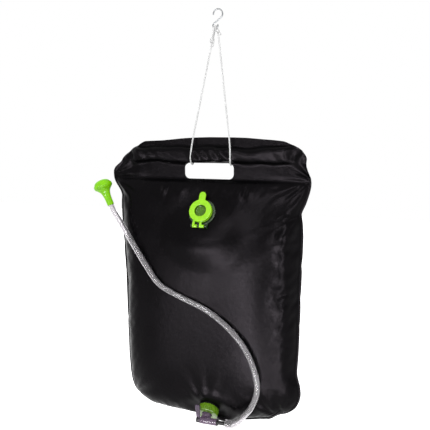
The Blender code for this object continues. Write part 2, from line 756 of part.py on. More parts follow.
def build_cap(collection, cutters, frame, green):
    """Makes the push-in cap on its hinge: skirt, recessed cup, pull tab and two tails with knuckles."""
    hinge = bpy.data.objects.new("cap_hinge", None)
    collection.objects.link(hinge)
    hinge.parent = frame
    hinge.location = (0, -cap_hinge_distance, cap_hinge_height)

    plug_radius = filler_bore_radius - cap_plug_gap
    cup_radius = plug_radius - cap_cup_wall
    skirt_bore = filler_neck_radius + cap_skirt_gap
    under_top = filler_neck_height + clearance
    floor_top = cap_plug_bottom + cap_floor_thickness
    profile = [
        (0, floor_top), (cup_radius, floor_top), (cup_radius, cap_top),
        (cap_radius - cap_edge_round, cap_top), (cap_radius, cap_top - cap_edge_round),
        (cap_radius, cap_skirt_bottom), (skirt_bore, cap_skirt_bottom), (skirt_bore, under_top),
        (plug_radius, under_top), (plug_radius - cap_plug_taper, cap_plug_bottom), (0, cap_plug_bottom)]
    cap = revolve("filler_cap", profile, collection, hinge, green)
    cap.location = -hinge.location

    tab_root = cap_radius - tab_rib_width
    tab_tip = cap_radius + tab_length
    tab_top = cap_top - clearance
    tab = add_object("pull_tab_form", plate_mesh("pull_tab_form", tab_outline(tab_half_width, tab_root, tab_tip),
                                                 tab_top - tab_thickness, tab_top), cutters, cap)
    combine(cap, tab, "UNION")
    pocket = add_object("tab_pocket_cut", plate_mesh(
        "tab_pocket_cut", tab_outline(tab_half_width - tab_rib_width, cap_radius + tab_rib_width / 2,
                                      tab_tip - tab_rib_width),
        tab_top - tab_pocket_depth, cap_top + cut_overrun), cutters, cap)
    combine(cap, pocket, "DIFFERENCE")

    tail_top = cap_hinge_height + knuckle_radius
    bore_radius = hinge_bar_radius + clearance
    for tail_x in (left_tail_x, right_tail_x):
        tail_middle = tail_x + tail_width / 2
        root = -math.sqrt(cap_radius ** 2 - tail_middle ** 2) + tail_width / 2
        tail = add_object("tail_form", box_mesh(
            "tail_form", (tail_x, -cap_hinge_distance, tail_top - tail_thickness),
            (tail_x + tail_width, root, tail_top)), cutters, cap)
        combine(cap, tail, "UNION")
        knuckle = add_object("knuckle_form", cylinder_mesh(
            "knuckle_form", knuckle_radius, tail_x, tail_x + knuckle_length, fine_segments), cutters, cap)
        lay_along_x(knuckle, cap_hinge_height)
        knuckle.location.y = -cap_hinge_distance
        combine(cap, knuckle, "UNION")
    bore = add_object("knuckle_cut", cylinder_mesh(
        "knuckle_cut", bore_radius, -hinge_lug_spread, hinge_lug_spread, fine_segments), cutters, cap)
    lay_along_x(bore, cap_hinge_height)
    bore.location.y = -cap_hinge_distance
    combine(cap, bore, "DIFFERENCE")
    return cap


def tab_outline(half, root, tip):
    """Returns a tongue with a straight root and a round tip."""
    centre = tip - half
    outline = [(half, root)]
    for step in range(2 * arc_steps + 1):
        angle = math.pi * step / (2 * arc_steps)
        outline.append((half * math.cos(angle), centre + half * math.sin(angle)))
    return outline + [(-half, root)]


def build_outlet(collection, cutters, frame, front, green, black):
    """Makes the outlet's rimmed neck, the gasket and the ribbed screw collar."""
    rim_top = clearance + outlet_rim_thickness
    profile = [(outlet_neck_radius, outlet_neck_height), (outlet_neck_radius, rim_top),
               (outlet_rim_radius, rim_top), (outlet_rim_radius, clearance),
               (outlet_spigot_radius, clearance), (outlet_spigot_radius, -port_spigot_depth),
               (outlet_bore_radius, -port_spigot_depth), (outlet_bore_radius, outlet_neck_height)]
    revolve("outlet_port", profile, collection, frame, black)
    cut_port_hole(front, cutters, frame, outlet_spigot_radius)

    gasket_front = gasket_back + gasket_thickness
    gasket_bore = tap_flange_radius - gasket_wall
    profile = [(tap_flange_radius, gasket_front), (tap_flange_radius, gasket_back),
               (gasket_bore, gasket_back), (gasket_bore, gasket_front)]
    revolve("port_gasket", profile, collection, frame, black)

    outline = []
    for step in range(4 * collar_rib_count):
        angle = math.tau * step / (4 * collar_rib_count)
        radius = collar_radius if step % 4 < 2 else collar_radius - collar_rib_depth
        outline.append((radius * math.cos(angle), radius * math.sin(angle)))
    mesh = plate_mesh("screw_collar", outline, collar_back, collar_front)
    collar = add_object("screw_collar", mesh, collection, frame, green)
    thread = add_object("collar_thread_cut", cylinder_mesh(
        "collar_thread_cut", outlet_neck_radius + collar_thread_gap, collar_back - cut_overrun, collar_lip_back),
        cutters, frame)
    combine(collar, thread, "DIFFERENCE")
    lip = add_object("collar_lip_cut", cylinder_mesh(
        "collar_lip_cut", tap_neck_radius + clearance, collar_back, collar_front + cut_overrun), cutters, frame)
    combine(collar, lip, "DIFFERENCE")


def build_tap(collection, cutters, frame, smoky, black, rubber):
    """Makes the tap's body, the spindle with its lever and O-rings, and the hose barb."""
    body = add_object("tap_body", cylinder_mesh(
        "tap_body", tap_flange_radius, tap_flange_back, tap_flange_front), collection, frame, smoky)
    neck = add_object("tap_neck_form", cylinder_mesh(
        "tap_neck_form", tap_neck_radius, tap_flange_back, collar_front + tap_neck_length), cutters, frame)
    combine(body, neck, "UNION")
    barrel = add_object("tap_barrel_form", cylinder_mesh(
        "tap_barrel_form", barrel_radius, -barrel_left, barrel_right), cutters, frame)
    lay_along_x(barrel, barrel_height)
    combine(body, barrel, "UNION")
    bore = add_object("tap_bore_cut", cylinder_mesh(
        "tap_bore_cut", barrel_bore_radius, -barrel_left - cut_overrun, barrel_right + cut_overrun,
        fine_segments), cutters, frame)
    lay_along_x(bore, barrel_height)
    combine(body, bore, "DIFFERENCE")
    inlet = add_object("tap_inlet_cut", cylinder_mesh(
        "tap_inlet_cut", tap_inlet_radius, tap_flange_back - cut_overrun, barrel_height - barrel_bore_radius / 2),
        cutters, frame)
    combine(body, inlet, "DIFFERENCE")
    build_lever(collection, cutters, frame, smoky, rubber)
    build_barb(collection, frame, black)


def build_lever(collection, cutters, frame, smoky, rubber):
    """Makes the hollow spindle with its hub and blade, and two O-rings in its grooves."""
    axis = bpy.data.objects.new("lever_axis", None)
    collection.objects.link(axis)
    axis.parent = frame
    axis.location = (0, 0, barrel_height)
    axis.rotation_euler = (-blade_lean, 0, 0)
    hub_face = -barrel_left - clearance
    groove_radius = spindle_radius - 2 * o_ring_radius
    profile = [(0, spindle_end), (spindle_radius, spindle_end)]
    for groove_x in (right_o_ring_x, left_o_ring_x):
        high = groove_x + o_ring_groove_half_width
        low = groove_x - o_ring_groove_half_width
        profile += [(spindle_radius, high), (groove_radius, high), (groove_radius, low), (spindle_radius, low)]
    profile += [(spindle_radius, hub_face), (hub_radius, hub_face), (hub_radius, hub_face - hub_length),
                (0, hub_face - hub_length)]
    lever = revolve("tap_lever", profile, collection, axis, smoky, fine_segments)
    lay_along_x(lever)
    hub_middle = hub_face - hub_length / 2
    corners = [(hub_middle - blade_root_width / 2, 0), (hub_middle + blade_root_width / 2, 0),
               (hub_middle + blade_tip_width / 2, blade_reach), (hub_middle - blade_tip_width / 2, blade_reach)]
    blade = add_object("blade_form", plate_mesh(
        "blade_form", rounded_outline(corners, blade_corner), -blade_thickness / 2, blade_thickness / 2),
        cutters, axis)
    combine(lever, blade, "UNION")
    bore = add_object("spindle_bore_cut", cylinder_mesh(
        "spindle_bore_cut", spindle_bore_radius, -spindle_radius, spindle_end + cut_overrun, fine_segments),
        cutters, axis)
    lay_along_x(bore)
    combine(lever, bore, "DIFFERENCE")
    port = add_object("spindle_port_cut", cylinder_mesh(
        "spindle_port_cut", spindle_port_radius, 0, spindle_radius + cut_overrun, fine_segments), cutters, axis)
    port.rotation_euler = (math.radians(90) + blade_lean, 0, 0)
    combine(lever, port, "DIFFERENCE")

    middle_radius = groove_radius + o_ring_seat_gap + o_ring_radius
    for name, ring_x in (("left_o_ring", left_o_ring_x), ("right_o_ring", right_o_ring_x)):
        ring = add_object(name, ring_mesh(name, middle_radius, o_ring_radius), collection, axis, rubber)
        lay_along_x(ring)
        ring.location.x = ring_x


def ring_mesh(name, ring_radius, section_radius, section_sides=6):
    """Returns a torus about Z."""
    shape = bmesh.new()
    rings = []
    for step in range(fine_segments):
        turn = Matrix.Rotation(math.tau * step / fine_segments, 3, "Z")
        section = []
        for side in range(section_sides):
            angle = math.tau * side / section_sides
            place = Vector((ring_radius + section_radius * math.cos(angle), 0, section_radius * math.sin(angle)))
            section.append(shape.verts.new(turn @ place))
        rings.append(section)
    for first, second in zip(rings, rings[1:] + rings[:1]):
        for side in range(section_sides):
            following = (side + 1) % section_sides
            shape.faces.new((first[side], second[side], second[following], first[following]))
    return mesh_from_bmesh(name, shape)


def build_barb(collection, frame, black):
    """Makes the hose barb: a spigot in the barrel, a flange, and a stem with ridges."""
    spigot_radius = barrel_bore_radius - clearance
    flange_end = barb_flange_x + barb_flange_thickness
    profile = []
    for index in reversed(range(barb_ridge_count)):
        ridge_start = flange_end + barb_first_ridge + index * barb_ridge_length
        ridge_end = ridge_start + barb_ridge_length
        profile += [(barb_stem_radius, ridge_end), (barb_ridge_radius, ridge_start + barb_ridge_length * barb_crest_share),
                    (barb_stem_radius, ridge_start)]
    profile = drop_repeats(profile)
    profile += [(barb_stem_radius, flange_end), (barrel_radius, flange_end), (barrel_radius, barb_flange_x),
                (spigot_radius, barb_flange_x), (spigot_radius, barb_flange_x - barb_spigot_length),
                (barb_bore_radius, barb_flange_x - barb_spigot_length), (barb_bore_radius, barb_tip_x)]
    barb = revolve("hose_barb", profile, collection, frame, black, fine_segments)
    lay_along_x(barb, barrel_height)


def drop_repeats(profile):
    """Leaves out a point that lies on the one before it."""
    kept = [profile[0]]
    for point in profile[1:]:
        if math.dist(point, kept[-1]) > merge_distance:
            kept.append(point)
    return kept


def build_hose(collection, cutters, bag, frame, clear):
    """Lays the hose along its route, widens its first stretch over the barb, and opens its end."""
    barb = [frame.matrix_local @ Vector((x, 0, barrel_height)) for x in (hose_start_x, barb_tip_x)]
    route = smooth_route(barb + hose_route, hose_pitch)
    hose = add_object("hose", tube_mesh("hose", route, hose_radius), collection, bag, clear)
    profile = [(0, hose_start_x + hose_cuff_length), (barb_ridge_radius, hose_start_x + hose_cuff_length),
               (hose_cuff_radius, hose_start_x + hose_cuff_length / 2), (hose_cuff_radius, hose_start_x),
               (0, hose_start_x)]
    cuff = revolve("hose_cuff_form", profile, cutters, frame)
    lay_along_x(cuff, barrel_height)
    combine(hose, cuff, "UNION")
    socket = add_object("hose_socket_cut", cylinder_mesh(
        "hose_socket_cut", barb_ridge_radius + clearance, hose_start_x - cut_overrun, barb_tip_x + clearance,
        fine_segments), cutters, frame)
    lay_along_x(socket, barrel_height)
    combine(hose, socket, "DIFFERENCE")
    route[0] += (route[0] - route[1]).normalized() * cut_overrun
    route[-1] += (route[-1] - route[-2]).normalized() * cut_overrun
    bore = add_object("hose_bore_cut", tube_mesh("hose_bore_cut", route, hose_bore_radius), cutters, bag)
    combine(hose, bore, "DIFFERENCE")


def build_head(collection, cutters, bag, green, rubber):
    """Makes the spray head on the hose's end: the mushroom body, the seal and the domed rose."""
    tip = Vector(hose_route[-1])
    along = (tip - Vector(hose_route[-2])).normalized()
    frame = add_frame("head_frame", collection, bag, tip - along * (head_socket_depth - clearance), along)

    neck_radius = head_socket_radius + head_neck_wall
    seat = head_length - rose_seat_depth
    rose_radius = head_radius - rose_edge_wall
    seat_radius = rose_radius - seal_wall - clearance
    profile = [(head_radius * radius_share, head_length * length_share)
               for radius_share, length_share in head_outline_shares]
    profile += [(neck_radius, head_socket_depth), (neck_radius - clearance, 0),
                (head_socket_radius, 0), (head_socket_radius, head_socket_depth),
                (head_bore_radius, head_socket_depth), (head_bore_radius, head_length * head_funnel_share),
                (seat_radius * head_funnel_width_share, head_length * head_funnel_end_share),
                (seat_radius, seat - seal_thickness), (seat_radius, seat), (rose_radius + clearance, seat),
                (rose_radius + clearance, head_length)]
    revolve("head_body", profile, collection, frame, green, fine_segments + arc_steps - 1)

    seal_bottom = seat + clearance
    seal_top = seal_bottom + seal_thickness
    profile = [(rose_radius, seal_top), (rose_radius, seal_bottom),
               (rose_radius - seal_wall, seal_bottom), (rose_radius - seal_wall, seal_top)]
    revolve("rose_seal", profile, collection, frame, rubber, fine_segments)

    rose_bottom = seal_top + clearance
    profile = [(rose_radius * radius_share, head_length + rose_height * height_share)
               for radius_share, height_share in rose_dome_shares]
    inner_radius = rose_radius - rose_wall
    profile += [(rose_radius, rose_bottom), (inner_radius, rose_bottom)]
    profile += [(inner_radius * radius_share, head_length + (rose_height - rose_wall) * height_share)
                for radius_share, height_share in reversed(rose_dome_shares)]
    rose = revolve("head_rose", profile, collection, frame, green, fine_segments)
    shape = bmesh.new()
    places = [(0.0, 0.0)]
    for ring_radius, count in rose_hole_rings:
        places += [(ring_radius * math.cos(math.tau * step / count), ring_radius * math.sin(math.tau * step / count))
                   for step in range(count)]
    for x, y in places:
        bmesh.ops.create_cone(shape, cap_ends=True, segments=6, radius1=rose_hole_radius, radius2=rose_hole_radius,
                              depth=rose_height + cut_overrun,
                              matrix=Matrix.Translation((x, y, head_length + (rose_height + cut_overrun) / 2)))
    holes = add_object("rose_holes_cut", mesh_from_bmesh("rose_holes_cut", shape), cutters, frame)
    combine(rose, holes, "DIFFERENCE")


def build_shower_bag():
    """Builds every piece of the shower bag."""
    for old in list(bpy.data.objects):
        bpy.data.objects.remove(old)
    collection = bpy.data.collections.new("camp_shower_bag")
    cutters = bpy.data.collections.new("camp_shower_bag_cutters")
    bpy.context.scene.collection.children.link(collection)
    bpy.context.scene.collection.children.link(cutters)

    steel = make_material("plated_steel", (0.62, 0.63, 0.64), 0.30, 1.0)
    cord_white = make_material("white_cord", (0.80, 0.80, 0.78), 0.80)
    film = make_material("black_film", (0.016, 0.015, 0.018), 0.38)
    green = make_material("lime_plastic", (0.34, 0.72, 0.02), 0.35)
    dark_green = make_material("green_plastic", (0.10, 0.30, 0.02), 0.35)
    smoky = make_material("smoky_plastic", (0.05, 0.04, 0.06), 0.12, 0.0, 0.8)
    black = make_material("black_plastic", (0.03, 0.03, 0.03), 0.40)
    rubber = make_material("black_rubber", (0.02, 0.02, 0.02), 0.70)
    clear = make_material("clear_hose", (0.85, 0.87, 0.88), 0.12, 0.0, 0.45)
    white = make_material("white_plastic", (0.75, 0.75, 0.73), 0.50)

    bag = bpy.data.objects.new("bag_frame", None)
    collection.objects.link(bag)
    bag.location = (bag_shift_x, bag_shift_y, -weld_drop)
    build_hook(collection, steel)
    build_hook_knots(collection, cutters, cord_white)
    build_cord(collection, bag, cord_white)
    front, _ = build_panels(collection, cutters, bag, film)
    build_grip(collection, bag, white, white)
    filler = port_frame("filler", collection, bag)
    build_filler(collection, cutters, filler, front, green, dark_green)
    outlet = port_frame("outlet", collection, bag)
    build_outlet(collection, cutters, outlet, front, green, black)
    build_tap(collection, cutters, outlet, smoky, black, rubber)
    build_hose(collection, cutters, bag, outlet, clear)
    build_head(collection, cutters, bag, green, rubber)
    bpy.context.view_layer.update()


build_shower_bag()
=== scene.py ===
"""Camp shower bag: a welded film bag of water that hangs from a hook by a cord."""
import math

import bmesh
import bpy
import numpy as np
from mathutils import Matrix, Vector


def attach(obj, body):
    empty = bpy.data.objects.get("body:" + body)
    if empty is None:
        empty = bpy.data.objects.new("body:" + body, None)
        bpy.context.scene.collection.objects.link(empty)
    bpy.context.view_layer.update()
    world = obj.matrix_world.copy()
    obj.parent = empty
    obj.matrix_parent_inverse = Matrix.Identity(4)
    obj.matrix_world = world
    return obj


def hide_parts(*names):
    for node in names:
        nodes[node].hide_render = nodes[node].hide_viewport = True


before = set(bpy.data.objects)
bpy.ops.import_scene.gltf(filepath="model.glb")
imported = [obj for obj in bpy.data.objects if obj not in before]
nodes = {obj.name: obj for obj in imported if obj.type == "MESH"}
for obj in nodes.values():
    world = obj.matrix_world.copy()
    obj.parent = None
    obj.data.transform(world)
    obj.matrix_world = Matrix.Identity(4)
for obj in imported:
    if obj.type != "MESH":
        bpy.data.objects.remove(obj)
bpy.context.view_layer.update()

bag_place = Vector((-0.0210, 0.0087, -0.3144))

# Camera
# It looks from the right and a little above the middle of the bag. Its lens gives the width and
# the slant that the bag's straight welds have.
photo_width = 430
focal_length_in_pixels = 647
sensor_width = 36
camera_yaw = math.radians(20)
camera_elevation = math.radians(7.43)
camera_distance = 1.25
camera_target = bag_place + Vector((0.0120, 0, -0.0680))


def new_object(name, data):
    """Adds an object with this data to the scene."""
    added = bpy.data.objects.new(name, data)
    bpy.context.scene.collection.objects.link(added)
    return added


camera_data = bpy.data.cameras.new("camera")
camera_data.sensor_width = sensor_width
camera_data.lens = focal_length_in_pixels * sensor_width / photo_width
camera = new_object("camera", camera_data)
backward = Vector((
    math.sin(camera_yaw) * math.cos(camera_elevation),
    -math.cos(camera_yaw) * math.cos(camera_elevation),
    math.sin(camera_elevation)))
camera.location = camera_target + backward * camera_distance
camera.rotation_euler = (-backward).to_track_quat("-Z", "Y").to_euler()
bpy.context.scene.camera = camera
bpy.context.scene.view_settings.view_transform = "Standard"

# Suspension cord
# One length of white braided cord. It goes down from the hook, in at one slot in the back of the
# sleeve, along the grip tube and out at the other slot, and each leg wraps under the hand hole's edge.
cord_radius = 0.0015
cord_pitch = 0.00075
clearance = 0.0003
eye_shift = -0.0049
eye_drop = 0.0285
hook_wire_radius = 0.0012
cord_turn_radius = 0.0035
cord_spacing = 0.00175
cord_turn_drop = 0.0006
cord_turn_height = -eye_drop - cord_turn_drop - cord_turn_radius
bight_top = Vector((eye_shift - cord_spacing, 0, cord_turn_height))
bight_knot = bight_top + Vector((-0.0046, 0, -0.0230))
bight_knot_radius = 0.0041
hitch_top = Vector((eye_shift + cord_spacing, 0, cord_turn_height))
hitch_knot = hitch_top + Vector((0.0033, 0, -0.0064))
hitch_knot_radius = 0.0031
knot_stretch = 1.25
cord_sides = 16
braid_strands = 4
braid_lay = 0.0060
braid_depth_share = 0.12
braid_crest = 1.6
crease_angle = math.radians(38)
noise_low, noise_high = 0.3, 0.7
cord_route = [
    (0.0014, -0.0095, 0.2188), (-0.0058, -0.0102, 0.1844), (-0.0150, -0.0112, 0.1404),
    (-0.0224, -0.0123, 0.1054), (-0.0277, -0.0130, 0.0800), (-0.0300, -0.0134, 0.0674),
    (-0.0325, -0.0136, 0.0504), (-0.0334, -0.0128, 0.0419), (-0.0339, -0.0099, 0.0354),
    (-0.0342, -0.0048, 0.0303), (-0.0345, 0.0000, 0.0290), (-0.0350, 0.0048, 0.0303),
    (-0.0357, 0.0094, 0.0354), (-0.0367, 0.0128, 0.0419), (-0.0378, 0.0136, 0.0484),
    (-0.0385, 0.0131, 0.0530), (-0.0387, 0.0102, 0.0573), (-0.0382, 0.0055, 0.0594),
    (-0.0360, 0.0020, 0.0598), (-0.0323, 0.0003, 0.0597), (-0.0283, 0.0000, 0.0597),
    (-0.0150, 0.0000, 0.0597), (0.0030, 0.0000, 0.0597), (0.0210, 0.0000, 0.0597),
    (0.0335, 0.0000, 0.0597), (0.0375, 0.0003, 0.0597), (0.0412, 0.0020, 0.0598),
    (0.0434, 0.0055, 0.0594), (0.0439, 0.0102, 0.0573), (0.0440, 0.0131, 0.0530),
    (0.0440, 0.0136, 0.0484), (0.0440, 0.0128, 0.0419), (0.0441, 0.0094, 0.0354),
    (0.0443, 0.0048, 0.0303), (0.0445, 0.0000, 0.0290), (0.0450, -0.0048, 0.0303),
    (0.0459, -0.0099, 0.0354), (0.0466, -0.0128, 0.0419), (0.0469, -0.0136, 0.0504),
    (0.0460, -0.0134, 0.0690), (0.0430, -0.0127, 0.0948), (0.0408, -0.0122, 0.1134),
    (0.0364, -0.0114, 0.1500), (0.0316, -0.0106, 0.1900), (0.0262, -0.0096, 0.2350)]


def smooth_route(points, pitch, closed=False):
    """Reads places about a pitch apart from a smooth curve through the points."""
    points = [Vector(point) for point in points]
    if closed:
        ends = [points[-1]] + points + points[:2]
    else:
        ends = [2 * points[0] - points[1]] + points + [2 * points[-1] - points[-2]]
    route = []
    for before, start, end, after in zip(ends, ends[1:], ends[2:], ends[3:]):
        steps = max(1, round((end - start).length / pitch))
        for step in range(steps):
            t = step / steps
            route.append((
                2 * start + (end - before) * t + (2 * before - 5 * start + 4 * end - after) * t ** 2
                + (3 * start - before - 3 * end + after) * t ** 3) / 2)
    if not closed:
        route.append(points[-1])
    return route


def route_length(route):
    """Returns how long a route is from place to place."""
    return sum((after - before).length for before, after in zip(route, route[1:]))


def sweep(route, sides, radius_at, closed=False, capped=True):
    """Sweeps a ring along a route without twist; radius_at(run, angles) gives the ring's radii."""
    places = np.array([tuple(place) for place in route])
    if closed:
        ahead = np.roll(places, -1, 0) - np.roll(places, 1, 0)
    else:
        ahead = np.gradient(places, axis=0)
    ahead /= np.linalg.norm(ahead, axis=1)[:, None]
    runs = np.concatenate([[0], np.cumsum(np.linalg.norm(np.diff(places, axis=0), axis=1))])
    angles = np.linspace(0, math.tau, sides, endpoint=False)
    across = np.cross(ahead[0], (0.0, 0.0, 1.0) if abs(ahead[0][2]) < 0.9 else (1.0, 0.0, 0.0))
    points = []
    for place, direction, run in zip(places, ahead, runs):
        across = across - direction * (across @ direction)
        across /= np.linalg.norm(across)
        upward = np.cross(direction, across)
        radii = radius_at(run, angles)
        points.append(place + (np.cos(angles) * radii)[:, None] * across
                      + (np.sin(angles) * radii)[:, None] * upward)
    count = len(places)
    faces = []
    for ring in range(count if closed else count - 1):
        low, high = ring * sides, (ring + 1) % count * sides
        for side in range(sides):
            following = (side + 1) % sides
            faces.append((low + side, low + following, high + following, high + side))
    if capped and not closed:
        faces.append(tuple(reversed(range(sides))))
        faces.append(tuple(range((count - 1) * sides, count * sides)))
    return np.concatenate(points), faces


def mesh_of(name, parts):
    """Returns one mesh from (points, faces) parts, shaded smooth."""
    points, faces, start = [], [], 0
    for part_points, part_faces in parts:
        points += [tuple(point) for point in part_points]
        faces += [tuple(start + index for index in face) for face in part_faces]
        start = len(points)
    mesh = bpy.data.meshes.new(name)
    mesh.from_pydata(points, [], faces)
    mesh.validate()
    shape = bmesh.new()
    shape.from_mesh(mesh)
    bmesh.ops.recalc_face_normals(shape, faces=shape.faces)
    shape.to_mesh(mesh)
    shape.free()
    mesh.shade_smooth()
    mesh.set_sharp_from_angle(angle=crease_angle)
    return mesh


def add_piece(name, mesh, material, body, slot, *replaced):
    """Links a piece, gives it its material and body, and hides the nodes that it stands for."""
    piece = new_object(name, mesh)
    piece.data.materials.clear()
    piece.data.materials.append(material)
    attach(piece, body)
    if replaced:
        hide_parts(*replaced)
    return piece


def add_parts(name, parts, *looks):
    """Makes a piece of (points, faces) parts, with the rest as add_piece() takes it."""
    return add_piece(name, mesh_of(name, parts), *looks)


def shader_of(material):
    """Returns a material's Principled shader."""
    return material.node_tree.nodes["Principled BSDF"]


def new_material(name, colour, roughness, **sockets):
    """Returns a Principled material with these values on the shader's own sockets."""
    material = bpy.data.materials.new(name)
    material.use_nodes = True
    shader = shader_of(material)
    shader.inputs["Base Color"].default_value = (*colour, 1)
    shader.inputs["Roughness"].default_value = roughness
    for socket, value in sockets.items():
        shader.inputs[socket.replace("_", " ").title().replace("Ior", "IOR")].default_value = value
    return material


def add_noise(material, scale, detail=3, stretch=(1, 1, 1)):
    """Adds a noise in the piece's own metres and returns its output."""
    tree = material.node_tree
    place = tree.nodes.new("ShaderNodeTexCoord")
    mapping = tree.nodes.new("ShaderNodeMapping")
    mapping.inputs["Scale"].default_value = stretch
    noise = tree.nodes.new("ShaderNodeTexNoise")
    noise.inputs["Scale"].default_value = scale
    noise.inputs["Detail"].default_value = detail
    tree.links.new(place.outputs["Object"], mapping.inputs["Vector"])
    tree.links.new(mapping.outputs["Vector"], noise.inputs["Vector"])
    return noise.outputs["Fac"]


def add_range(material, noise, low, high):
    """Maps a noise's middle range to low..high and returns the output."""
    node = material.node_tree.nodes.new("ShaderNodeMapRange")
    node.inputs["From Min"].default_value = noise_low
    node.inputs["From Max"].default_value = noise_high
    node.inputs["To Min"].default_value = low
    node.inputs["To Max"].default_value = high
    material.node_tree.links.new(noise, node.inputs["Value"])
    return node.outputs["Result"]


def vary_roughness(material, scale, low, high, detail=3):
    """Runs the shader's roughness from low to high with a noise."""
    level = add_range(material, add_noise(material, scale, detail), low, high)
    material.node_tree.links.new(level, shader_of(material).inputs["Roughness"])


def vary_colour(material, scale, first, second):
    """Runs the shader's colour from first to second with a noise."""
    tree = material.node_tree
    mix = tree.nodes.new("ShaderNodeMix")
    mix.data_type = "RGBA"
    for socket in mix.inputs:
        if socket.type == "RGBA":
            socket.default_value = (*(first if socket.name == "A" else second), 1)
    result = [socket for socket in mix.outputs if socket.type == "RGBA"][0]
    tree.links.new(add_range(material, add_noise(material, scale), 0, 1), mix.inputs["Factor"])
    tree.links.new(result, shader_of(material).inputs["Base Color"])


def add_bump(material, scale, height, strength=1, detail=3, stretch=(1, 1, 1)):
    """Raises the surface by a noise, over any bump that is there already."""
    tree = material.node_tree
    shader = shader_of(material)
    bump = tree.nodes.new("ShaderNodeBump")
    bump.inputs["Distance"].default_value = height
    bump.inputs["Strength"].default_value = strength
    tree.links.new(add_noise(material, scale, detail, stretch), bump.inputs["Height"])
    if shader.inputs["Normal"].is_linked:
        tree.links.new(shader.inputs["Normal"].links[0].from_socket, bump.inputs["Normal"])
    tree.links.new(bump.outputs["Normal"], shader.inputs["Normal"])


def braid(run, angles):
    """Returns the radii of a round braid: two sets of strands that cross."""
    turn = math.tau * run / braid_lay
    half_turns = braid_strands * angles / 2
    crossing = np.abs(np.sin(half_turns + turn)) + np.abs(np.sin(half_turns - turn))
    return cord_radius * (1 - braid_depth_share + braid_depth_share * crossing / braid_crest)


cord_white = new_material("white_braid", (0.72, 0.72, 0.72), 0.75, sheen_weight=0.2, sheen_roughness=0.4)
vary_colour(cord_white, 90, (0.64, 0.64, 0.64), (0.78, 0.78, 0.78))
add_bump(cord_white, 2600, 0.0001, detail=4)


def knot_exit(knot, radius, towards):
    """Returns the place just under a knot where the cord leaves it."""
    along = (towards - knot).normalized()
    reach = 1 / math.hypot(along.x / radius, along.y / radius, along.z / (radius * knot_stretch))
    return knot + along * (reach + clearance)


cord_middle = [bag_place + Vector(place) for place in cord_route]
cord_exit_left = knot_exit(bight_knot, bight_knot_radius, cord_middle[0])
cord_exit_right = knot_exit(hitch_knot, hitch_knot_radius, cord_middle[-1])
cord_places = smooth_route([cord_exit_left] + cord_middle + [cord_exit_right], cord_pitch)
suspension_cord = add_parts("braided_cord", [sweep(cord_places, cord_sides, braid)], cord_white, "bag", "cord",
                            "suspension_cord")

# Knots at the hook
# The cord's left end is tied into a long bight and its right end into a tight hitch, and both
# hang in the hook's eye. Each is held by a wrapped knot with a short trimmed tail.
knot_pitch = 0.0026
knot_steps = 10
knot_cord_pitch = 0.0007
tail_bends = ((0.0030, 0.0020), (0.0045, 0.0060))
bight_wrap_radius, bight_turns = 0.0029, 3.0
bight_half_width, bight_throat = 0.0026, 0.0018
bight_steps = 8
hitch_wrap_radius, hitch_turns = 0.0019, 2.0
hitch_droop = 0.0016
hitch_steps = 16


def wrapped_knot(centre, along, wrap_radius, turns):
    """Returns the turns of a wrapped knot about a line, with a tail that sticks out below."""
    along = along.normalized()
    across = along.cross(Vector((0, 1, 0))).normalized()
    forward = along.cross(across)
    places = []
    steps = round(turns * knot_steps)
    for step in range(steps + 1):
        angle = math.tau * step / knot_steps
        rise = (step / steps - 0.5) * turns * knot_pitch
        places.append(centre + along * rise + wrap_radius * (across * math.cos(angle) + forward * math.sin(angle)))
    tail = (places[-1] - places[-2]).normalized()
    places += [places[-1] + tail * out + along * down for out, down in tail_bends]
    return sweep(smooth_route(places, knot_cord_pitch), cord_sides, braid)


bight_loop = []
for step in range(bight_steps + 1):
    angle = math.pi * step / bight_steps
    bight_loop.append(bight_top + cord_turn_radius * Vector((0, math.cos(angle), math.sin(angle))))
bight_middle = (bight_top + bight_knot) / 2
bight_loop += [bight_middle + Vector((0, -bight_half_width, 0)), bight_knot + Vector((0, -bight_throat, 0)),
               bight_knot + Vector((0, bight_throat, 0)), bight_middle + Vector((0, bight_half_width, 0))]
bight_parts = [
    sweep(smooth_route(bight_loop, cord_pitch, closed=True), cord_sides, braid, closed=True),
    wrapped_knot(bight_knot, bight_knot - bight_top, bight_wrap_radius, bight_turns)]
hook_bight = add_parts("bight_with_knot", bight_parts, cord_white, "bag", "cord", "hook_bight")

hitch_loop = []
for step in range(hitch_steps):
    angle = math.tau * step / hitch_steps
    drop = hitch_droop if step > hitch_steps / 2 else 0
    hitch_loop.append(hitch_top + Vector((
        0, cord_turn_radius * math.cos(angle), cord_turn_radius * math.sin(angle) - drop)))
hitch_parts = [
    sweep(smooth_route(hitch_loop, cord_pitch, closed=True), cord_sides, braid, closed=True),
    wrapped_knot(hitch_knot, hitch_knot - hitch_top, hitch_wrap_radius, hitch_turns)]
hook_hitch = add_parts("hitch_with_knot", hitch_parts, cord_white, "bag", "cord", "hook_hitch")

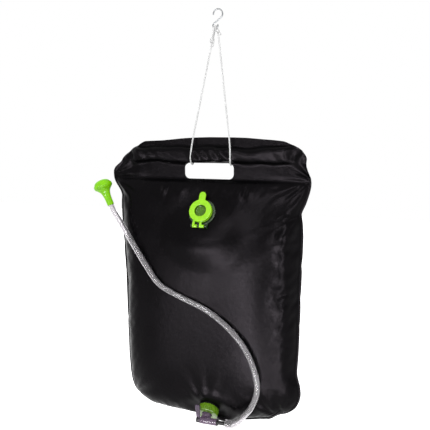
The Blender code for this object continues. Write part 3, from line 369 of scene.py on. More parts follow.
# Hose
# Clear flexible vinyl hose, 11 mm outside with a 1.5 mm wall, pushed over the tap's barb, where
# it widens, and into the neck of the spray head. It hangs in a wide bow over the front film.
hose_radius = 0.0055
hose_bore_radius = 0.0040
hose_cuff_radius = 0.0080
hose_cuff_bore_radius = 0.0056
hose_cuff_length = 0.0400
hose_pitch = 0.0040
kink_runs = (0.150, 0.185, 0.225, 0.365)
kink_length, kink_depth = 0.006, 0.0007
hose_wander = ((0.00008, 61, 0), (0.00006, 137, 1))
outer_flute_depth, inner_flute_depth = 0.00016, 0.00018
barb_reaches = (0, 0.006, 0.012)
hose_sides = 32
outlet_place = Vector((-0.0120, -0.01477, -0.76174))
outlet_normal = Vector((0, -0.81915, -0.57358))
barrel_height = 0.03063
hose_start_x = 0.0414
hose_route = [
    (0.0765, -0.0498, -0.4568), (0.0890, -0.0504, -0.4418), (0.1035, -0.0517, -0.4222),
    (0.1149, -0.0545, -0.3875), (0.1100, -0.0565, -0.3496), (0.0911, -0.0573, -0.3083),
    (0.0577, -0.0575, -0.2712), (0.0139, -0.0575, -0.2413), (-0.0392, -0.0573, -0.2200),
    (-0.0817, -0.0562, -0.1997), (-0.1128, -0.0530, -0.1635), (-0.1500, -0.0485, -0.1111),
    (-0.1700, -0.0465, -0.0822), (-0.1812, -0.0457, -0.0668), (-0.1880, -0.0452, -0.0548),
    (-0.1938, -0.0449, -0.0425)]


def place_on_face(origin, normal):
    """Returns the place of a fitting whose own Z stands along the normal and whose X stays level."""
    upward = normal.cross(Vector((1, 0, 0))).normalized()
    across = upward.cross(normal)
    return Matrix.Translation(origin) @ Matrix((across, upward, normal)).transposed().to_4x4()


def ease(value):
    """Runs smoothly from 0 to 1 as the value does."""
    value = np.clip(value, 0, 1)
    return value * value * (3 - 2 * value)


def waves(place, rows):
    """Adds up sine waves from rows of (height, turn per metre, phase)."""
    return sum(height * np.sin(place * turn + phase) for height, turn, phase in rows)


def hose_outside(run, angles):
    """Returns the hose's outer radii: wide over the barb, uneven and fluted, and dented at the kinks."""
    cuff = 1 - ease(run / hose_cuff_length)
    dent = sum(math.exp(-((run - kink) / kink_length) ** 2) for kink in kink_runs)
    flutes = outer_flute_depth * np.sin(4 * angles + 7 * run)
    radius = hose_radius + (hose_cuff_radius - hose_radius) * cuff
    return radius + waves(run, hose_wander) + kink_depth * dent * np.cos(2 * angles) + (1 - cuff) * flutes


def hose_inside(run, angles):
    """Returns the hose's bore radii, with shallow flutes of their own."""
    cuff = 1 - ease(run / hose_cuff_length)
    flutes = inner_flute_depth * np.cos(3 * angles + 5 * run)
    return hose_bore_radius + (hose_cuff_bore_radius - hose_bore_radius) * cuff + (1 - cuff) * flutes


outlet_matrix = place_on_face(outlet_place, outlet_normal)
hose_first = [outlet_matrix @ Vector((hose_start_x + reach, 0, barrel_height)) for reach in barb_reaches]
hose_places = smooth_route(hose_first + [bag_place + Vector(place) for place in hose_route], hose_pitch)
outside, outside_faces = sweep(hose_places, hose_sides, hose_outside, capped=False)
inside, inside_faces = sweep(hose_places, hose_sides, hose_inside, capped=False)
rim_faces = []
for ring in (0, (len(hose_places) - 1) * hose_sides):
    for side in range(hose_sides):
        following = (side + 1) % hose_sides
        rim_faces.append((ring + side, ring + following,
                          len(outside) + ring + following, len(outside) + ring + side))
hose_mesh = mesh_of("clear_hose", [(
    np.concatenate([outside, inside]),
    outside_faces + [tuple(len(outside) + index for index in face) for face in inside_faces] + rim_faces)])
clear_vinyl = new_material("clear_vinyl", (0.72, 0.70, 0.72), 0.15, transmission_weight=0.92, ior=1.45,
                           specular_ior_level=0.22)
vary_roughness(clear_vinyl, 40, 0.13, 0.18)
add_bump(clear_vinyl, 30, 0.00003)
hose = add_piece("clear_hose", hose_mesh, clear_vinyl, "bag", "clear", "hose")

# Hook
# An open S-hook bent from one plated steel wire, with a small eye that holds the cord. The
# plating is a little dull, and the wire's cut ends are rounded over.
hook_bend_radius = 0.0090
eye_radius = 0.0049
wire_sides = 20
wire_pitch = 0.0006
bend_degrees = (190, -38)
eye_degrees = (128, 392)
arc_places = 15
end_flatness = 0.02


def bent_wire():
    """Lists the wire's places: the open bend, the stretch across and the eye."""
    bend_centre = Vector((0, 0, hook_wire_radius - hook_bend_radius))
    eye_centre = Vector((eye_shift, 0, -eye_drop))
    arcs = []
    for centre, radius, degrees in ((bend_centre, hook_bend_radius, bend_degrees),
                                    (eye_centre, eye_radius, eye_degrees)):
        angles = [math.radians(place) for place in np.linspace(*degrees, arc_places)]
        arcs.append([centre + radius * Vector((math.cos(angle), 0, math.sin(angle))) for angle in angles])
    bend, eye = arcs
    return bend + [(2 * bend[-1] + eye[0]) / 3, (bend[-1] + 2 * eye[0]) / 3] + eye


wire_places = smooth_route(bent_wire(), wire_pitch)
wire_length = route_length(wire_places)


def wire_radius(run, angles):
    """Returns the wire's radii, closing over at both ends."""
    to_end = min(run, wire_length - run)
    share = min(to_end / hook_wire_radius, 1)
    return hook_wire_radius * math.sqrt(max(1 - (1 - share) ** 2, end_flatness)) + 0 * angles


steel = new_material("plated_wire", (0.17, 0.175, 0.18), 0.34, metallic=1.0)
vary_roughness(steel, 300, 0.28, 0.42)
add_bump(steel, 1800, 0.00005, stretch=(1, 1, 0.1))
add_parts("wire_hook", [sweep(wire_places, wire_sides, wire_radius)], steel, "hook", "steel", "s_hook")

# Film bag
# Two sheets of black embossed vinyl film, welded to each other all round, along the top of the
# water chamber and along both sides of the sleeve for the grip. Water swells the chamber, so the
# welded edges draw in and pucker, and folds run in from the ends of the top weld.
film_thickness = 0.0006
weld_gap = 0.0003
weld_width = 0.0040
chamber_height = 0.4685
chamber_depth = 0.0494
flat_half_width = 0.2000
bottom_corner_radius = 0.0500
left_outline = [
    (0.0814, 0.1360), (0.0760, 0.1430), (0.0700, 0.1475), (0.0633, 0.1525), (0.0545, 0.1665), (0.0469, 0.1771),
    (0.0380, 0.1853), (0.0298, 0.1916), (0.0216, 0.2021), (0.0134, 0.2064), (0.0053, 0.2062), (-0.0029, 0.2050),
    (-0.0109, 0.2016), (-0.0189, 0.1957), (-0.0269, 0.1905), (-0.0349, 0.1880), (-0.0432, 0.1890), (-0.0600, 0.1892),
    (-0.0800, 0.1884), (-0.1200, 0.1860), (-0.1650, 0.1832), (-0.2000, 0.1816), (-0.3000, 0.1793), (-0.3700, 0.1776),
    (-0.4050, 0.1745), (-0.4200, 0.1715), (-0.4310, 0.1680), (-0.4390, 0.1640), (-0.4470, 0.1575), (-0.4542, 0.1480),
    (-0.4605, 0.1350), (-0.4660, 0.1130), (-0.4685, 0.0950)]
right_outline = [
    (0.0814, 0.1480), (0.0760, 0.1580), (0.0700, 0.1663), (0.0633, 0.1735), (0.0563, 0.1813), (0.0506, 0.1860),
    (0.0434, 0.1892), (0.0362, 0.1886), (0.0289, 0.1892), (0.0217, 0.1920), (0.0145, 0.1950), (0.0073, 0.1978),
    (0.0000, 0.1990), (-0.0073, 0.1988), (-0.0147, 0.1975), (-0.0221, 0.1957), (-0.0295, 0.1933), (-0.0369, 0.1909),
    (-0.0444, 0.1880), (-0.0520, 0.1841), (-0.0595, 0.1814), (-0.0669, 0.1830), (-0.0800, 0.1850), (-0.1000, 0.1860),
    (-0.1500, 0.1846), (-0.2000, 0.1832), (-0.2500, 0.1824), (-0.3000, 0.1814), (-0.3350, 0.1802), (-0.3600, 0.1785),
    (-0.3700, 0.1790), (-0.3823, 0.1822), (-0.3900, 0.1846), (-0.4060, 0.1858), (-0.4140, 0.1848), (-0.4219, 0.1828),
    (-0.4304, 0.1790), (-0.4391, 0.1735), (-0.4488, 0.1620), (-0.4560, 0.1510), (-0.4620, 0.1390), (-0.4685, 0.1250)]
top_edge_drops = [
    (-0.1500, 0.0095), (-0.1323, 0.0080), (-0.1148, 0.0072), (-0.0976, 0.0065), (-0.0804, 0.0050), (-0.0634, 0.0032),
    (-0.0466, 0.0018), (-0.0217, 0.0006), (0.0000, 0.0000), (0.0500, 0.0003), (0.0747, 0.0010), (0.0903, 0.0022),
    (0.1057, 0.0035), (0.1210, 0.0045), (0.1362, 0.0058), (0.1513, 0.0078), (0.1663, 0.0100)]
bottom_edge_lifts = [
    (-0.1700, 0.0040), (-0.1300, 0.0040), (-0.1100, 0.0000), (-0.0800, -0.0025), (-0.0500, -0.0038),
    (-0.0300, -0.0055), (0.0120, -0.0130), (0.0350, -0.0180), (0.0480, -0.0150), (0.0640, -0.0065),
    (0.0865, -0.0030), (0.1030, 0.0006), (0.1190, 0.0034), (0.1360, 0.0045), (0.1440, 0.0115),
    (0.1510, 0.0070), (0.1700, 0.0050)]
bottom_lift_start, bottom_lift_length = -0.3700, 0.0900
left_fullness, right_fullness, side_roundness = 6.0, 4.0, 0.85
top_fullness, top_roundness = 2.5, 0.6
bottom_fullness, bottom_roundness = 4.4, 0.60
header_height = 0.0814
grip_height = 0.0478
sleeve_half_height = 0.0155
sleeve_depth = 0.0106
sleeve_half_length = 0.1480
sleeve_run_out = 0.0200
sleeve_lean = 0.22
sleeve_wander = ((0.0012, 52, 0.6), (0.0007, 117, 2))
sleeve_reach, sleeve_reach_waves = 1.05, ((0.08, 33, 2.5),)
sleeve_fullness, sleeve_sag, sleeve_under_fullness = 3.6, 1.6, 1.2
lean_share_left, lean_start, lean_length = 0.3, -0.0300, 0.0900
hole_half_width = 0.0500
hole_bottom = 0.0015
hole_top = 0.0322
hole_corner_radius = 0.0100
slot_radius = 0.0034
slot_height = 0.0583
slot_places = (-0.0388, 0.0440)
port_margin = 0.0020
port_cut_depth, port_cut_rise = 0.0100, 0.0040
hole_cut_reach, slot_cut_depth = 0.0300, 0.0200
# Each port: its x, height and tilt, the radii of its flat patch and its hole, the blends above and below
ports = {
    "filler": (-0.0010, -0.0600, math.radians(26), 0.0260, 0.0183, 0.0420, 0.1100),
    "outlet": (0.0090, -0.4470, math.radians(-35), 0.0220, 0.0118, 0.0320, 0.0320),
}
film_columns = 97
chamber_rows = 111
cloth_columns = 65
cloth_rows = 75
cloth_frames = 9
cloth_spread = 0.0020
cloth_settings = {
    "quality": 8, "mass": 0.05, "air_damping": 2, "tension_stiffness": 60, "compression_stiffness": 60,
    "shear_stiffness": 40, "bending_stiffness": 0.3, "tension_damping": 12, "compression_damping": 12,
    "shear_damping": 12, "use_pressure": True, "uniform_pressure_force": 5, "vertex_group_mass": "weld"}


def corner_cut(radius, reach):
    """Returns how much a round corner takes off the width at a reach into it."""
    return radius - np.sqrt(np.maximum(radius ** 2 - np.maximum(reach, 0) ** 2, 0))


def table_read(table, value):
    """Reads between the rows of a table of (place, size) rows."""
    rows = sorted(table)
    return np.interp(value, [row[0] for row in rows], [row[1] for row in rows])


def half_width(x, height):
    """Returns how far the film's edge is from the middle, on the side that x is on."""
    return np.where(np.asarray(x) < 0, table_read(left_outline, height), table_read(right_outline, height))


def sleeve_bulge(x, height):
    """Returns how far the film stands off over the grip tube."""
    reach = sleeve_half_height * (sleeve_reach + waves(x, sleeve_reach_waves))
    share = np.clip((height - grip_height - waves(x, sleeve_wander)) / reach, -1, 1)
    fade = 1 - ease((np.abs(x) - sleeve_half_length) / sleeve_run_out)
    lean = sleeve_lean * (lean_share_left + (1 - lean_share_left) * ease((x - lean_start) / lean_length))
    sag = sleeve_fullness + sleeve_sag * np.sin(x * 47 + 1) * np.sin(x * 19)
    fullness = np.where(share > 0, sag, sag + sleeve_under_fullness)
    return sleeve_depth * (1 - np.abs(share) ** fullness) * (1 + lean * share) * fade


def chamber_bulge(x, height):
    """Returns how far the filled chamber stands off at a place."""
    low = -(chamber_height - weld_width)
    side_share = np.minimum(np.abs(x) / (half_width(x, height) - weld_width), 1)
    end_share = np.clip(2 * height / low - 1, -1, 1)
    across = (1 - side_share ** np.where(np.asarray(x) < 0, left_fullness, right_fullness)) ** side_roundness
    upper = (1 - np.abs(end_share) ** top_fullness) ** top_roundness
    lower = (1 - np.abs(end_share) ** bottom_fullness) ** bottom_roundness
    inside = (height < 0) & (height > low)
    return np.where(inside, chamber_depth * across * np.where(end_share < 0, upper, lower), 0)


def port_hold(x, height, port):
    """Returns the depth of a port's flat patch, and how much the patch holds there."""
    port_x, port_height, tilt, radius, _, blend_above, blend_below = ports[port]
    distance = np.hypot(x - port_x, (height - port_height) / math.cos(tilt))
    below = np.clip((port_height - height) / np.maximum(distance, 0.001), 0, 1)
    hold = 1 - ease((distance - radius - port_margin) / (blend_above + (blend_below - blend_above) * below))
    depth = chamber_bulge(np.array(port_x), np.array(port_height)) - (height - port_height) * math.tan(tilt)
    return np.maximum(depth, 0), np.where((height < 0) & (height > weld_width - chamber_height), hold, 0)


fan_core = 0.6


def fold_fan(x, height, centre, heading, spread, folds, near, reach, depth):
    """Returns folds that run out of one point, like those at the end of a weld."""
    run = np.hypot(x - centre[0], height - centre[1])
    angle = np.arctan2(height - centre[1], x - centre[0]) - math.radians(heading)
    angle = (angle + math.pi) % math.tau - math.pi
    share = angle / math.radians(spread)
    inside = 1 - ease((np.abs(share) - fan_core) / (1 - fan_core))
    return depth * inside * ease(run / near) * np.exp(-(run / reach) ** 2) * np.cos(folds * math.pi * share)


def grid_faces(rows, columns, number, side):
    """Lists the faces of a grid of numbered points, which face forward for side -1 and back for 1."""
    faces = []
    for row in range(rows - 1):
        for column in range(columns - 1):
            face = [number(row, column), number(row + 1, column),
                    number(row + 1, column + 1), number(row, column + 1)]
            faces.append(face if side < 0 else face[::-1])
    return faces


def inflate_chamber(columns, rows, frames):
    """Blows up the flat welded chamber as cloth and returns both skins' places, front first."""
    flat_half = flat_half_width - weld_width
    flat_height = chamber_height - weld_width
    shares = np.linspace(-1, 1, columns)
    points, index, skins = [], {}, {}
    for side in (-1, 1):
        for row in range(rows):
            height = -flat_height * row / (rows - 1)
            half = flat_half - corner_cut(bottom_corner_radius, bottom_corner_radius - flat_height - height)
            for column in range(columns):
                on_edge = row in (0, rows - 1) or column in (0, columns - 1)
                key = (0 if on_edge else side, row, column)
                if key not in index:
                    index[key] = len(points)
                    wave = 0.0004 * math.sin(column * 1.7 + row * 0.9) * math.sin(row * 0.61 + column * 0.37)
                    points.append((shares[column] * half, side * (0 if on_edge else cloth_spread) + wave, height))
                skins[side, row, column] = index[key]
    faces = []
    for side in (-1, 1):
        faces += grid_faces(rows, columns, lambda row, column: skins[side, row, column], side)
    mesh = bpy.data.meshes.new("flat_chamber")
    mesh.from_pydata(points, [], faces)
    chamber = new_object("flat_chamber", mesh)
    pinned = chamber.vertex_groups.new(name="weld")
    pinned.add([skins[-1, 0, column] for column in range(columns)], 1, "REPLACE")
    cloth = chamber.modifiers.new("water", "CLOTH")
    for setting, value in cloth_settings.items():
        setattr(cloth.settings, setting, value)
    cloth.settings.effector_weights.gravity = 0
    cloth.collision_settings.use_collision = False
    for step in range(1, frames + 1):
        bpy.context.scene.frame_set(step)
    graph = bpy.context.evaluated_depsgraph_get()
    swollen = chamber.evaluated_get(graph).to_mesh()
    places = np.zeros(len(points) * 3, np.float32)
    swollen.vertices.foreach_get("co", places)
    places = places.reshape(-1, 3).astype(float)
    bpy.data.objects.remove(chamber)
    bpy.context.scene.frame_set(1)
    return [np.array([[places[skins[side, row, column]] for column in range(columns)] for row in range(rows)])
            for side in (-1, 1)]


def blurred(grid, width):
    """Smooths a grid along both ways, with its edges kept in place."""
    reach = int(width * 3)
    weights = np.exp(-0.5 * (np.arange(-reach, reach + 1) / width) ** 2)
    weights /= weights.sum()
    for axis in (0, 1):
        pads = [(0, 0)] * 3
        pads[axis] = (reach, reach)
        padded = np.pad(grid, pads, mode="reflect", reflect_type="odd")
        grid = sum(weight * np.take(padded, range(step, step + grid.shape[axis]), axis)
                   for step, weight in enumerate(weights))
    return grid


def resampled(grid, rows, columns):
    """Reads a grid again with other numbers of rows and columns."""
    for axis, count in ((0, rows), (1, columns)):
        old, new = np.linspace(0, 1, grid.shape[axis]), np.linspace(0, 1, count)
        grid = np.apply_along_axis(lambda line: np.interp(new, old, line), axis, grid)
    return grid


pucker_limit = 0.0060
pucker_blur = 3.0
pucker_shares = np.array([0.35, 1.2, 0.8])
pucker_middle_share = 0.15
pucker_fade_start, pucker_fade_length = 0.62, 0.25
puckers = []
for skin in inflate_chamber(cloth_columns, cloth_rows, cloth_frames):
    pucker = (skin - blurred(skin, pucker_blur)) * pucker_shares
    size = np.linalg.norm(pucker, axis=2, keepdims=True)
    pucker = pucker * np.minimum(1, pucker_limit / np.maximum(size, 1e-9))
    to_side = np.abs(np.linspace(-1, 1, cloth_columns))[None, :]
    to_end = np.abs(np.linspace(-1, 1, cloth_rows))[:, None]
    fade = ease((np.maximum(to_side, to_end) - pucker_fade_start) / pucker_fade_length)
    pucker *= (pucker_middle_share + (1 - pucker_middle_share) * fade)[:, :, None]
    puckers.append(resampled(pucker, chamber_rows, film_columns))

rows_above_sleeve, rows_over_sleeve, rows_below_sleeve = 7, 19, 10
sleeve_top, sleeve_bottom = grip_height + sleeve_half_height, grip_height - sleeve_half_height
film_rows = np.concatenate([
    np.linspace(header_height, sleeve_top, rows_above_sleeve),
    np.linspace(sleeve_top, sleeve_bottom, rows_over_sleeve)[1:],
    np.linspace(sleeve_bottom, 0, rows_below_sleeve)[1:]])
header_rows = len(film_rows)
film_rows = np.concatenate([
    film_rows, -(chamber_height - weld_width) * np.linspace(0, 1, chamber_rows)[1:], [-chamber_height]])

# Rows of folds hold what fold_fan() takes: centre, heading, spread, folds, near, reach and depth
header_folds = (
    ((-0.206, 0.006), 20, 62, 4, 0.012, 0.055, 0.0030), ((0.202, 0.004), 150, 46, 2, 0.012, 0.055, 0.0040),
    ((0.190, 0.066), 215, 60, 2, 0.010, 0.040, 0.0030), ((-0.165, 0.066), -50, 60, 3, 0.010, 0.045, 0.0022))
front_folds = (
    ((0.200, 0.004), 222, 40, 4, 0.018, 0.055, 0.0028), ((-0.200, -0.002), -40, 44, 4, 0.016, 0.050, 0.0026),
    ((0.190, -0.050), 236, 40, 2, 0.020, 0.100, 0.0036), ((0.009, -0.452), 98, 50, 4, 0.030, 0.060, 0.0022),
    ((0.145, -0.470), 108, 45, 3, 0.012, 0.050, 0.0045), ((-0.160, -0.455), 55, 50, 3, 0.012, 0.050, 0.0028))
weld_pinches = (
    (-0.082, 0.0055, 0.0030), (-0.074, 0.0040, -0.0020), (-0.046, 0.0045, 0.0020), (0.018, 0.0080, 0.0012),
    (0.036, 0.0060, 0.0016), (0.074, 0.0045, 0.0034), (0.082, 0.0038, -0.0022), (0.092, 0.0050, 0.0024))
pinch_length, pinch_slant = 0.034, 0.2
ruck_height, crease_height, ruck_slant = 0.0028, 0.0005, 0.9
ridge_place, ridge_width = 0.159, 0.015
ridge_height, ridge_wobble = 0.0042, 0.0009
sway_height, sway_slant = 0.0030, 0.35
fold_full_depth = 0.010


def film_places(side):
    """Returns the grid of places of one film: -1 is the front, 1 the back."""
    shares = np.linspace(-1, 1, film_columns)
    height = np.repeat(film_rows[:, None], film_columns + 2, 1)
    left, right = half_width(-1, film_rows), half_width(1, film_rows)
    inner = np.where(shares < 0, (left - weld_width)[:, None], (right - weld_width)[:, None]) * shares
    x = np.concatenate([-left[:, None], inner, right[:, None]], 1)
    depth = chamber_bulge(x, height) + sleeve_bulge(x, height)
    lifted = height + table_read(bottom_edge_lifts, x) * ease((bottom_lift_start - height) / bottom_lift_length)
    holds = np.zeros_like(depth)
    if side < 0:
        for port in ports:
            patch, hold = port_hold(x, lifted, port)
            depth += (patch - depth) * hold
            holds = np.maximum(holds, hold)
    depth += weld_gap / 2
    loose = 1 - holds

    grid = np.zeros((len(film_rows), film_columns + 2, 3))
    pucker = puckers[0 if side < 0 else 1]
    chamber = np.concatenate([pucker[:, :1], pucker, pucker[:, -1:]], 1)
    grid[header_rows - 1:-1] = chamber * loose[header_rows - 1:-1, :, None]
    grid[-1] = grid[-2]

    # The header's two sheets fold together at its ends
    both = sum(fold_fan(x, height, *row) for row in header_folds)

    # The film is slack over the grip tube and rucks up
    over_sleeve = np.clip(1 - np.abs(height - grip_height) / sleeve_half_height, 0, 1)
    slant = x + ruck_slant * (height - grip_height)
    ruck = np.maximum(np.sin(slant * 95 + 2.2 * np.sin(x * 31)) * np.sin(x * 43 + height * 60), 0) * ruck_height
    ruck += (1 + np.sin(slant * 230 + 1.7 * np.sin(x * 57) + side)) * (1 + np.sin(x * 37 + 1)) * crease_height
    depth += ruck * ease(over_sleeve * 2.4) * np.where(height > 0, 1, 0)

    if side < 0:
        fold = sum(fold_fan(x, height, *row) for row in front_folds)
        run = np.clip(-(height + weld_width) / pinch_length, 0, 1)
        for pinch_x, pinch_width, pinch_depth in weld_pinches:
            pinch = np.exp(-((x - pinch_x - pinch_slant * height) / pinch_width) ** 2)
            fold += pinch_depth * pinch * np.sin(math.pi * run) ** 2
        ridge = np.exp(-((x - ridge_place) / ridge_width) ** 2)
        ridge *= ease((-0.055 - height) / 0.04) * ease((height + 0.36) / 0.12)
        fold += ridge * (ridge_height + ridge_wobble * np.sin(height * 250 + 2 * np.sin(height * 61)))
        fold += sway_height * np.sin(17 * (x - sway_slant * height) + 0.6) * ease((-0.10 - height) / 0.08)
        inside = (height < -weld_width) & (height > weld_width - chamber_height)
        depth += np.where(inside, fold * ease(depth / fold_full_depth), 0) * (1 - 0.9 * holds)
    grid[:, :, 0] += x
    grid[:, :, 1] += side * depth + both * np.where(height > -weld_width, 1, 0)
    rise = np.maximum(height - sleeve_top, 0) / (header_height - sleeve_top)
    grid[:, :, 2] += lifted - table_read(top_edge_drops, x) * rise
    return grid


def rounded_outline(corners, radius, steps=8):
    """Returns a closed flat outline through the corners, each rounded with an arc."""
    outline = []
    for index, corner in enumerate(corners):
        corner = Vector(corner)
        to_last = (Vector(corners[index - 1]) - corner).normalized()
        to_next = (Vector(corners[(index + 1) % len(corners)]) - corner).normalized()
        half_angle = to_last.angle(to_next) / 2
        centre = corner + (to_last + to_next).normalized() * radius / math.sin(half_angle)
        start = corner + to_last * radius / math.tan(half_angle) - centre
        end = corner + to_next * radius / math.tan(half_angle) - centre
        sweep_angle = start.angle_signed(end)
        for step in range(steps + 1):
            outline.append(tuple(centre + Matrix.Rotation(-sweep_angle * step / steps, 2) @ start))
    return outline


def plate(outline, low, high):
    """Returns a flat outline raised along Z from low to high, as points and faces."""
    count = len(outline)
    points = [(x, y, low) for x, y in outline] + [(x, y, high) for x, y in outline]
    faces = [(step, (step + 1) % count, count + (step + 1) % count, count + step) for step in range(count)]
    return np.array(points), faces + [tuple(reversed(range(count))), tuple(range(count, 2 * count))]


def moved(part, matrix):
    """Returns a part with its points moved by a matrix."""
    points = np.asarray(part[0], float)
    matrix = np.array(matrix)
    return points @ matrix[:3, :3].T + matrix[:3, 3], part[1]


def applied(name, mesh, *changes):
    """Returns the mesh after modifiers; each change is a type with its values, parts being a tool."""
    holder = new_object(name, mesh)
    tools = []
    for kind, values in changes:
        modifier = holder.modifiers.new(kind, kind)
        for key, value in values.items():
            if key == "parts":
                modifier.object = new_object("tool", mesh_of("tool", value))
                modifier.solver = "EXACT"
                tools.append(modifier.object)
            else:
                setattr(modifier, key, value)
    bpy.context.view_layer.update()
    graph = bpy.context.evaluated_depsgraph_get()
    changed = bpy.data.meshes.new_from_object(holder.evaluated_get(graph))
    changed.name = name
    for old in tools + [holder]:
        bpy.data.objects.remove(old)
    changed.shade_smooth()
    changed.set_sharp_from_angle(angle=crease_angle)
    return changed


def cut(*parts):
    """Names a cut with parts for applied()."""
    return "BOOLEAN", {"operation": "DIFFERENCE", "parts": parts}


def join(*parts):
    """Names a union with parts for applied()."""
    return "BOOLEAN", {"operation": "UNION", "parts": parts}


def rod(radius, low, high, sides=64):
    """Returns a cylinder along Z from low to high."""
    outline = [(radius * math.cos(math.tau * step / sides), radius * math.sin(math.tau * step / sides))
               for step in range(sides)]
    return plate(outline, low, high)


def film_mesh(name, side):
    """Returns one film with its thickness, its hand hole, and its port holes or cord slots."""
    grid = film_places(side) + np.array(tuple(bag_place))
    rows, columns = grid.shape[:2]
    faces = grid_faces(rows, columns, lambda row, column: row * columns + column, side)
    mesh = bpy.data.meshes.new(name)
    mesh.from_pydata([tuple(place) for place in grid.reshape(-1, 3)], [], faces)
    turn = Matrix.Rotation(math.radians(90), 4, "X")
    corners = [(-hole_half_width, hole_bottom), (hole_half_width, hole_bottom),
               (hole_half_width, hole_top), (-hole_half_width, hole_top)]
    place = Matrix.Translation(bag_place)
    hand_hole = plate(rounded_outline(corners, hole_corner_radius), -hole_cut_reach, hole_cut_reach)
    cuts = [cut(moved(hand_hole, place @ turn))]
    if side < 0:
        for port, matrix in (("filler", filler_matrix), ("outlet", outlet_matrix)):
            cuts.append(cut(moved(rod(ports[port][4], -port_cut_depth, port_cut_rise), matrix)))
    else:
        for slot_x in slot_places:
            slot = place @ Matrix.Translation((slot_x, 0, slot_height)) @ turn
            cuts.append(cut(moved(rod(slot_radius, -slot_cut_depth, 0, sides=32), slot)))
    return applied(name, mesh, ("SUBSURF", {"levels": 1}),
                   ("SOLIDIFY", {"thickness": film_thickness, "offset": 1, "use_even_offset": True}), *cuts)


filler_place = Vector((-0.0220, -0.02560, -0.37414))
filler_normal = Vector((0, -0.89879, 0.43837))
filler_matrix = place_on_face(filler_place, filler_normal)
black_film = new_material("black_film", (0.0019, 0.0018, 0.0020), 0.28, specular_ior_level=0.042,
                          specular_tint=(1.0, 0.88, 1.0, 1))
vary_roughness(black_film, 22, 0.24, 0.33, detail=4)
vary_colour(black_film, 9, (0.0016, 0.0016, 0.0017), (0.0024, 0.0022, 0.0026))
add_bump(black_film, 130, 0.0006, 0.5, detail=4)
add_bump(black_film, 1500, 0.00008, detail=2)
film_front = add_piece("front_film", film_mesh("front_film", -1), black_film, "bag", "film", "front_panel")
film_back = add_piece("back_film", film_mesh("back_film", 1), black_film, "bag", "film", "back_panel")

# Grip tube
# A stiff white plastic tube in the sleeve keeps the header open for the hand, and a pushed-in plug
# closes each end. The sleeve hides them, so the CAD pieces stay, with their edges softened.
white_plastic = new_material("white_plastic", (0.75, 0.75, 0.73), 0.5)
vary_roughness(white_plastic, 60, 0.42, 0.58)
add_bump(white_plastic, 700, 0.00006)


def finish_node(name, material, softening=0.0003):
    """Gives a CAD piece its material and softens its moulded edges."""
    node = nodes[name]
    node.data.materials.clear()
    node.data.materials.append(material)
    weld = node.modifiers.new("weld", "WELD")
    weld.merge_threshold = 0.00001
    bevel = node.modifiers.new("softened", "BEVEL")
    bevel.width = softening
    bevel.segments = 2
    bevel.limit_method = "ANGLE"
    bevel.angle_limit = math.radians(50)
    bevel.harden_normals = False


for name in ("grip_tube", "left_grip_plug", "right_grip_plug"):
    finish_node(name, white_plastic)

# Filler neck and snap ring
# The filler's rimmed neck is welded to the front film. A ring snaps round it and carries the bar
# that the cap hinges on. Both are moulded in a darker, slightly clear green.
filler_rim_radius = 0.0260
filler_neck_radius = 0.0180
filler_bore_radius = 0.0134
filler_neck_height = 0.0100
filler_rim_top = 0.0015
port_depth = 0.0025
ring_bottom, ring_top = 0.0018, 0.0040
ring_bore, ring_radius = 0.0183, 0.0205
hinge_distance, hinge_height = 0.0290, 0.0058
hinge_bar_radius = 0.0012
lug_spread, lug_thickness = 0.0150, 0.0018
lug_half_length = 0.0026
arm_overlap = 0.0011


def rounded_profile(profile, radius, steps=4):
    """Rounds the corners of a lathe profile of (radius, height) points that lie off the axis."""
    closed = not (profile[0][0] == 0 and profile[-1][0] == 0)
    outline = []
    count = len(profile)
    for index, corner in enumerate(profile):
        if corner[0] == 0 or (not closed and index in (0, count - 1)):
            outline.append(corner)
            continue
        here = Vector(corner)
        to_last = Vector(profile[index - 1]) - here
        to_next = Vector(profile[(index + 1) % count]) - here
        half_angle = to_last.angle(to_next) / 2
        if half_angle > math.radians(80):
            outline.append(corner)
            continue
        trim = min(radius / math.tan(half_angle), 0.45 * to_last.length, 0.45 * to_next.length)
        start, end = here + to_last.normalized() * trim, here + to_next.normalized() * trim
        for step in range(steps + 1):
            t = step / steps
            outline.append(tuple(start * (1 - t) ** 2 + here * 2 * t * (1 - t) + end * t ** 2))
    return outline


def lathe(profile, sides=96, radius_share=None):
    """Turns a profile of (radius, height) points about Z; a share may vary its radius with the angle."""
    closed = not (profile[0][0] == 0 and profile[-1][0] == 0)
    angles = np.linspace(0, math.tau, sides, endpoint=False)
    points, rings = [], []
    for index, (radius, height) in enumerate(profile):
        if radius == 0:
            rings.append([len(points)] * sides)
            points.append((0, 0, height))
            continue
        radii = radius * (radius_share(index, angles) if radius_share else np.ones(sides))
        rings.append(list(range(len(points), len(points) + sides)))
        points += [(r * math.cos(a), r * math.sin(a), height) for r, a in zip(radii, angles)]
    faces = []
    pairs = list(zip(rings, rings[1:])) + ([(rings[-1], rings[0])] if closed else [])
    for first, second in pairs:
        for side in range(sides):
            following = (side + 1) % sides
            face = [first[side], first[following], second[following], second[side]]
            faces.append(tuple(dict.fromkeys(face)))
    return np.array(points, float), [face for face in faces if len(face) > 2]


def block(low, high, softened=0.0004):
    """Returns a bar between two corners, with its long edges rounded over."""
    low, high = Vector(low), Vector(high)
    width, length = high.x - low.x, high.y - low.y
    outline = rounded_outline([(low.x, low.y), (high.x, low.y), (high.x, high.y), (low.x, high.y)],
                              min(softened, 0.4 * width, 0.4 * length), 3)
    return plate(outline, low.z, high.z)


def along_x(part, height, forward=0.0):
    """Turns a part from local Z to local X at a height over the film."""
    return moved(part, Matrix.Translation((0, forward, height)) @ Matrix.Rotation(math.radians(90), 4, "Y"))


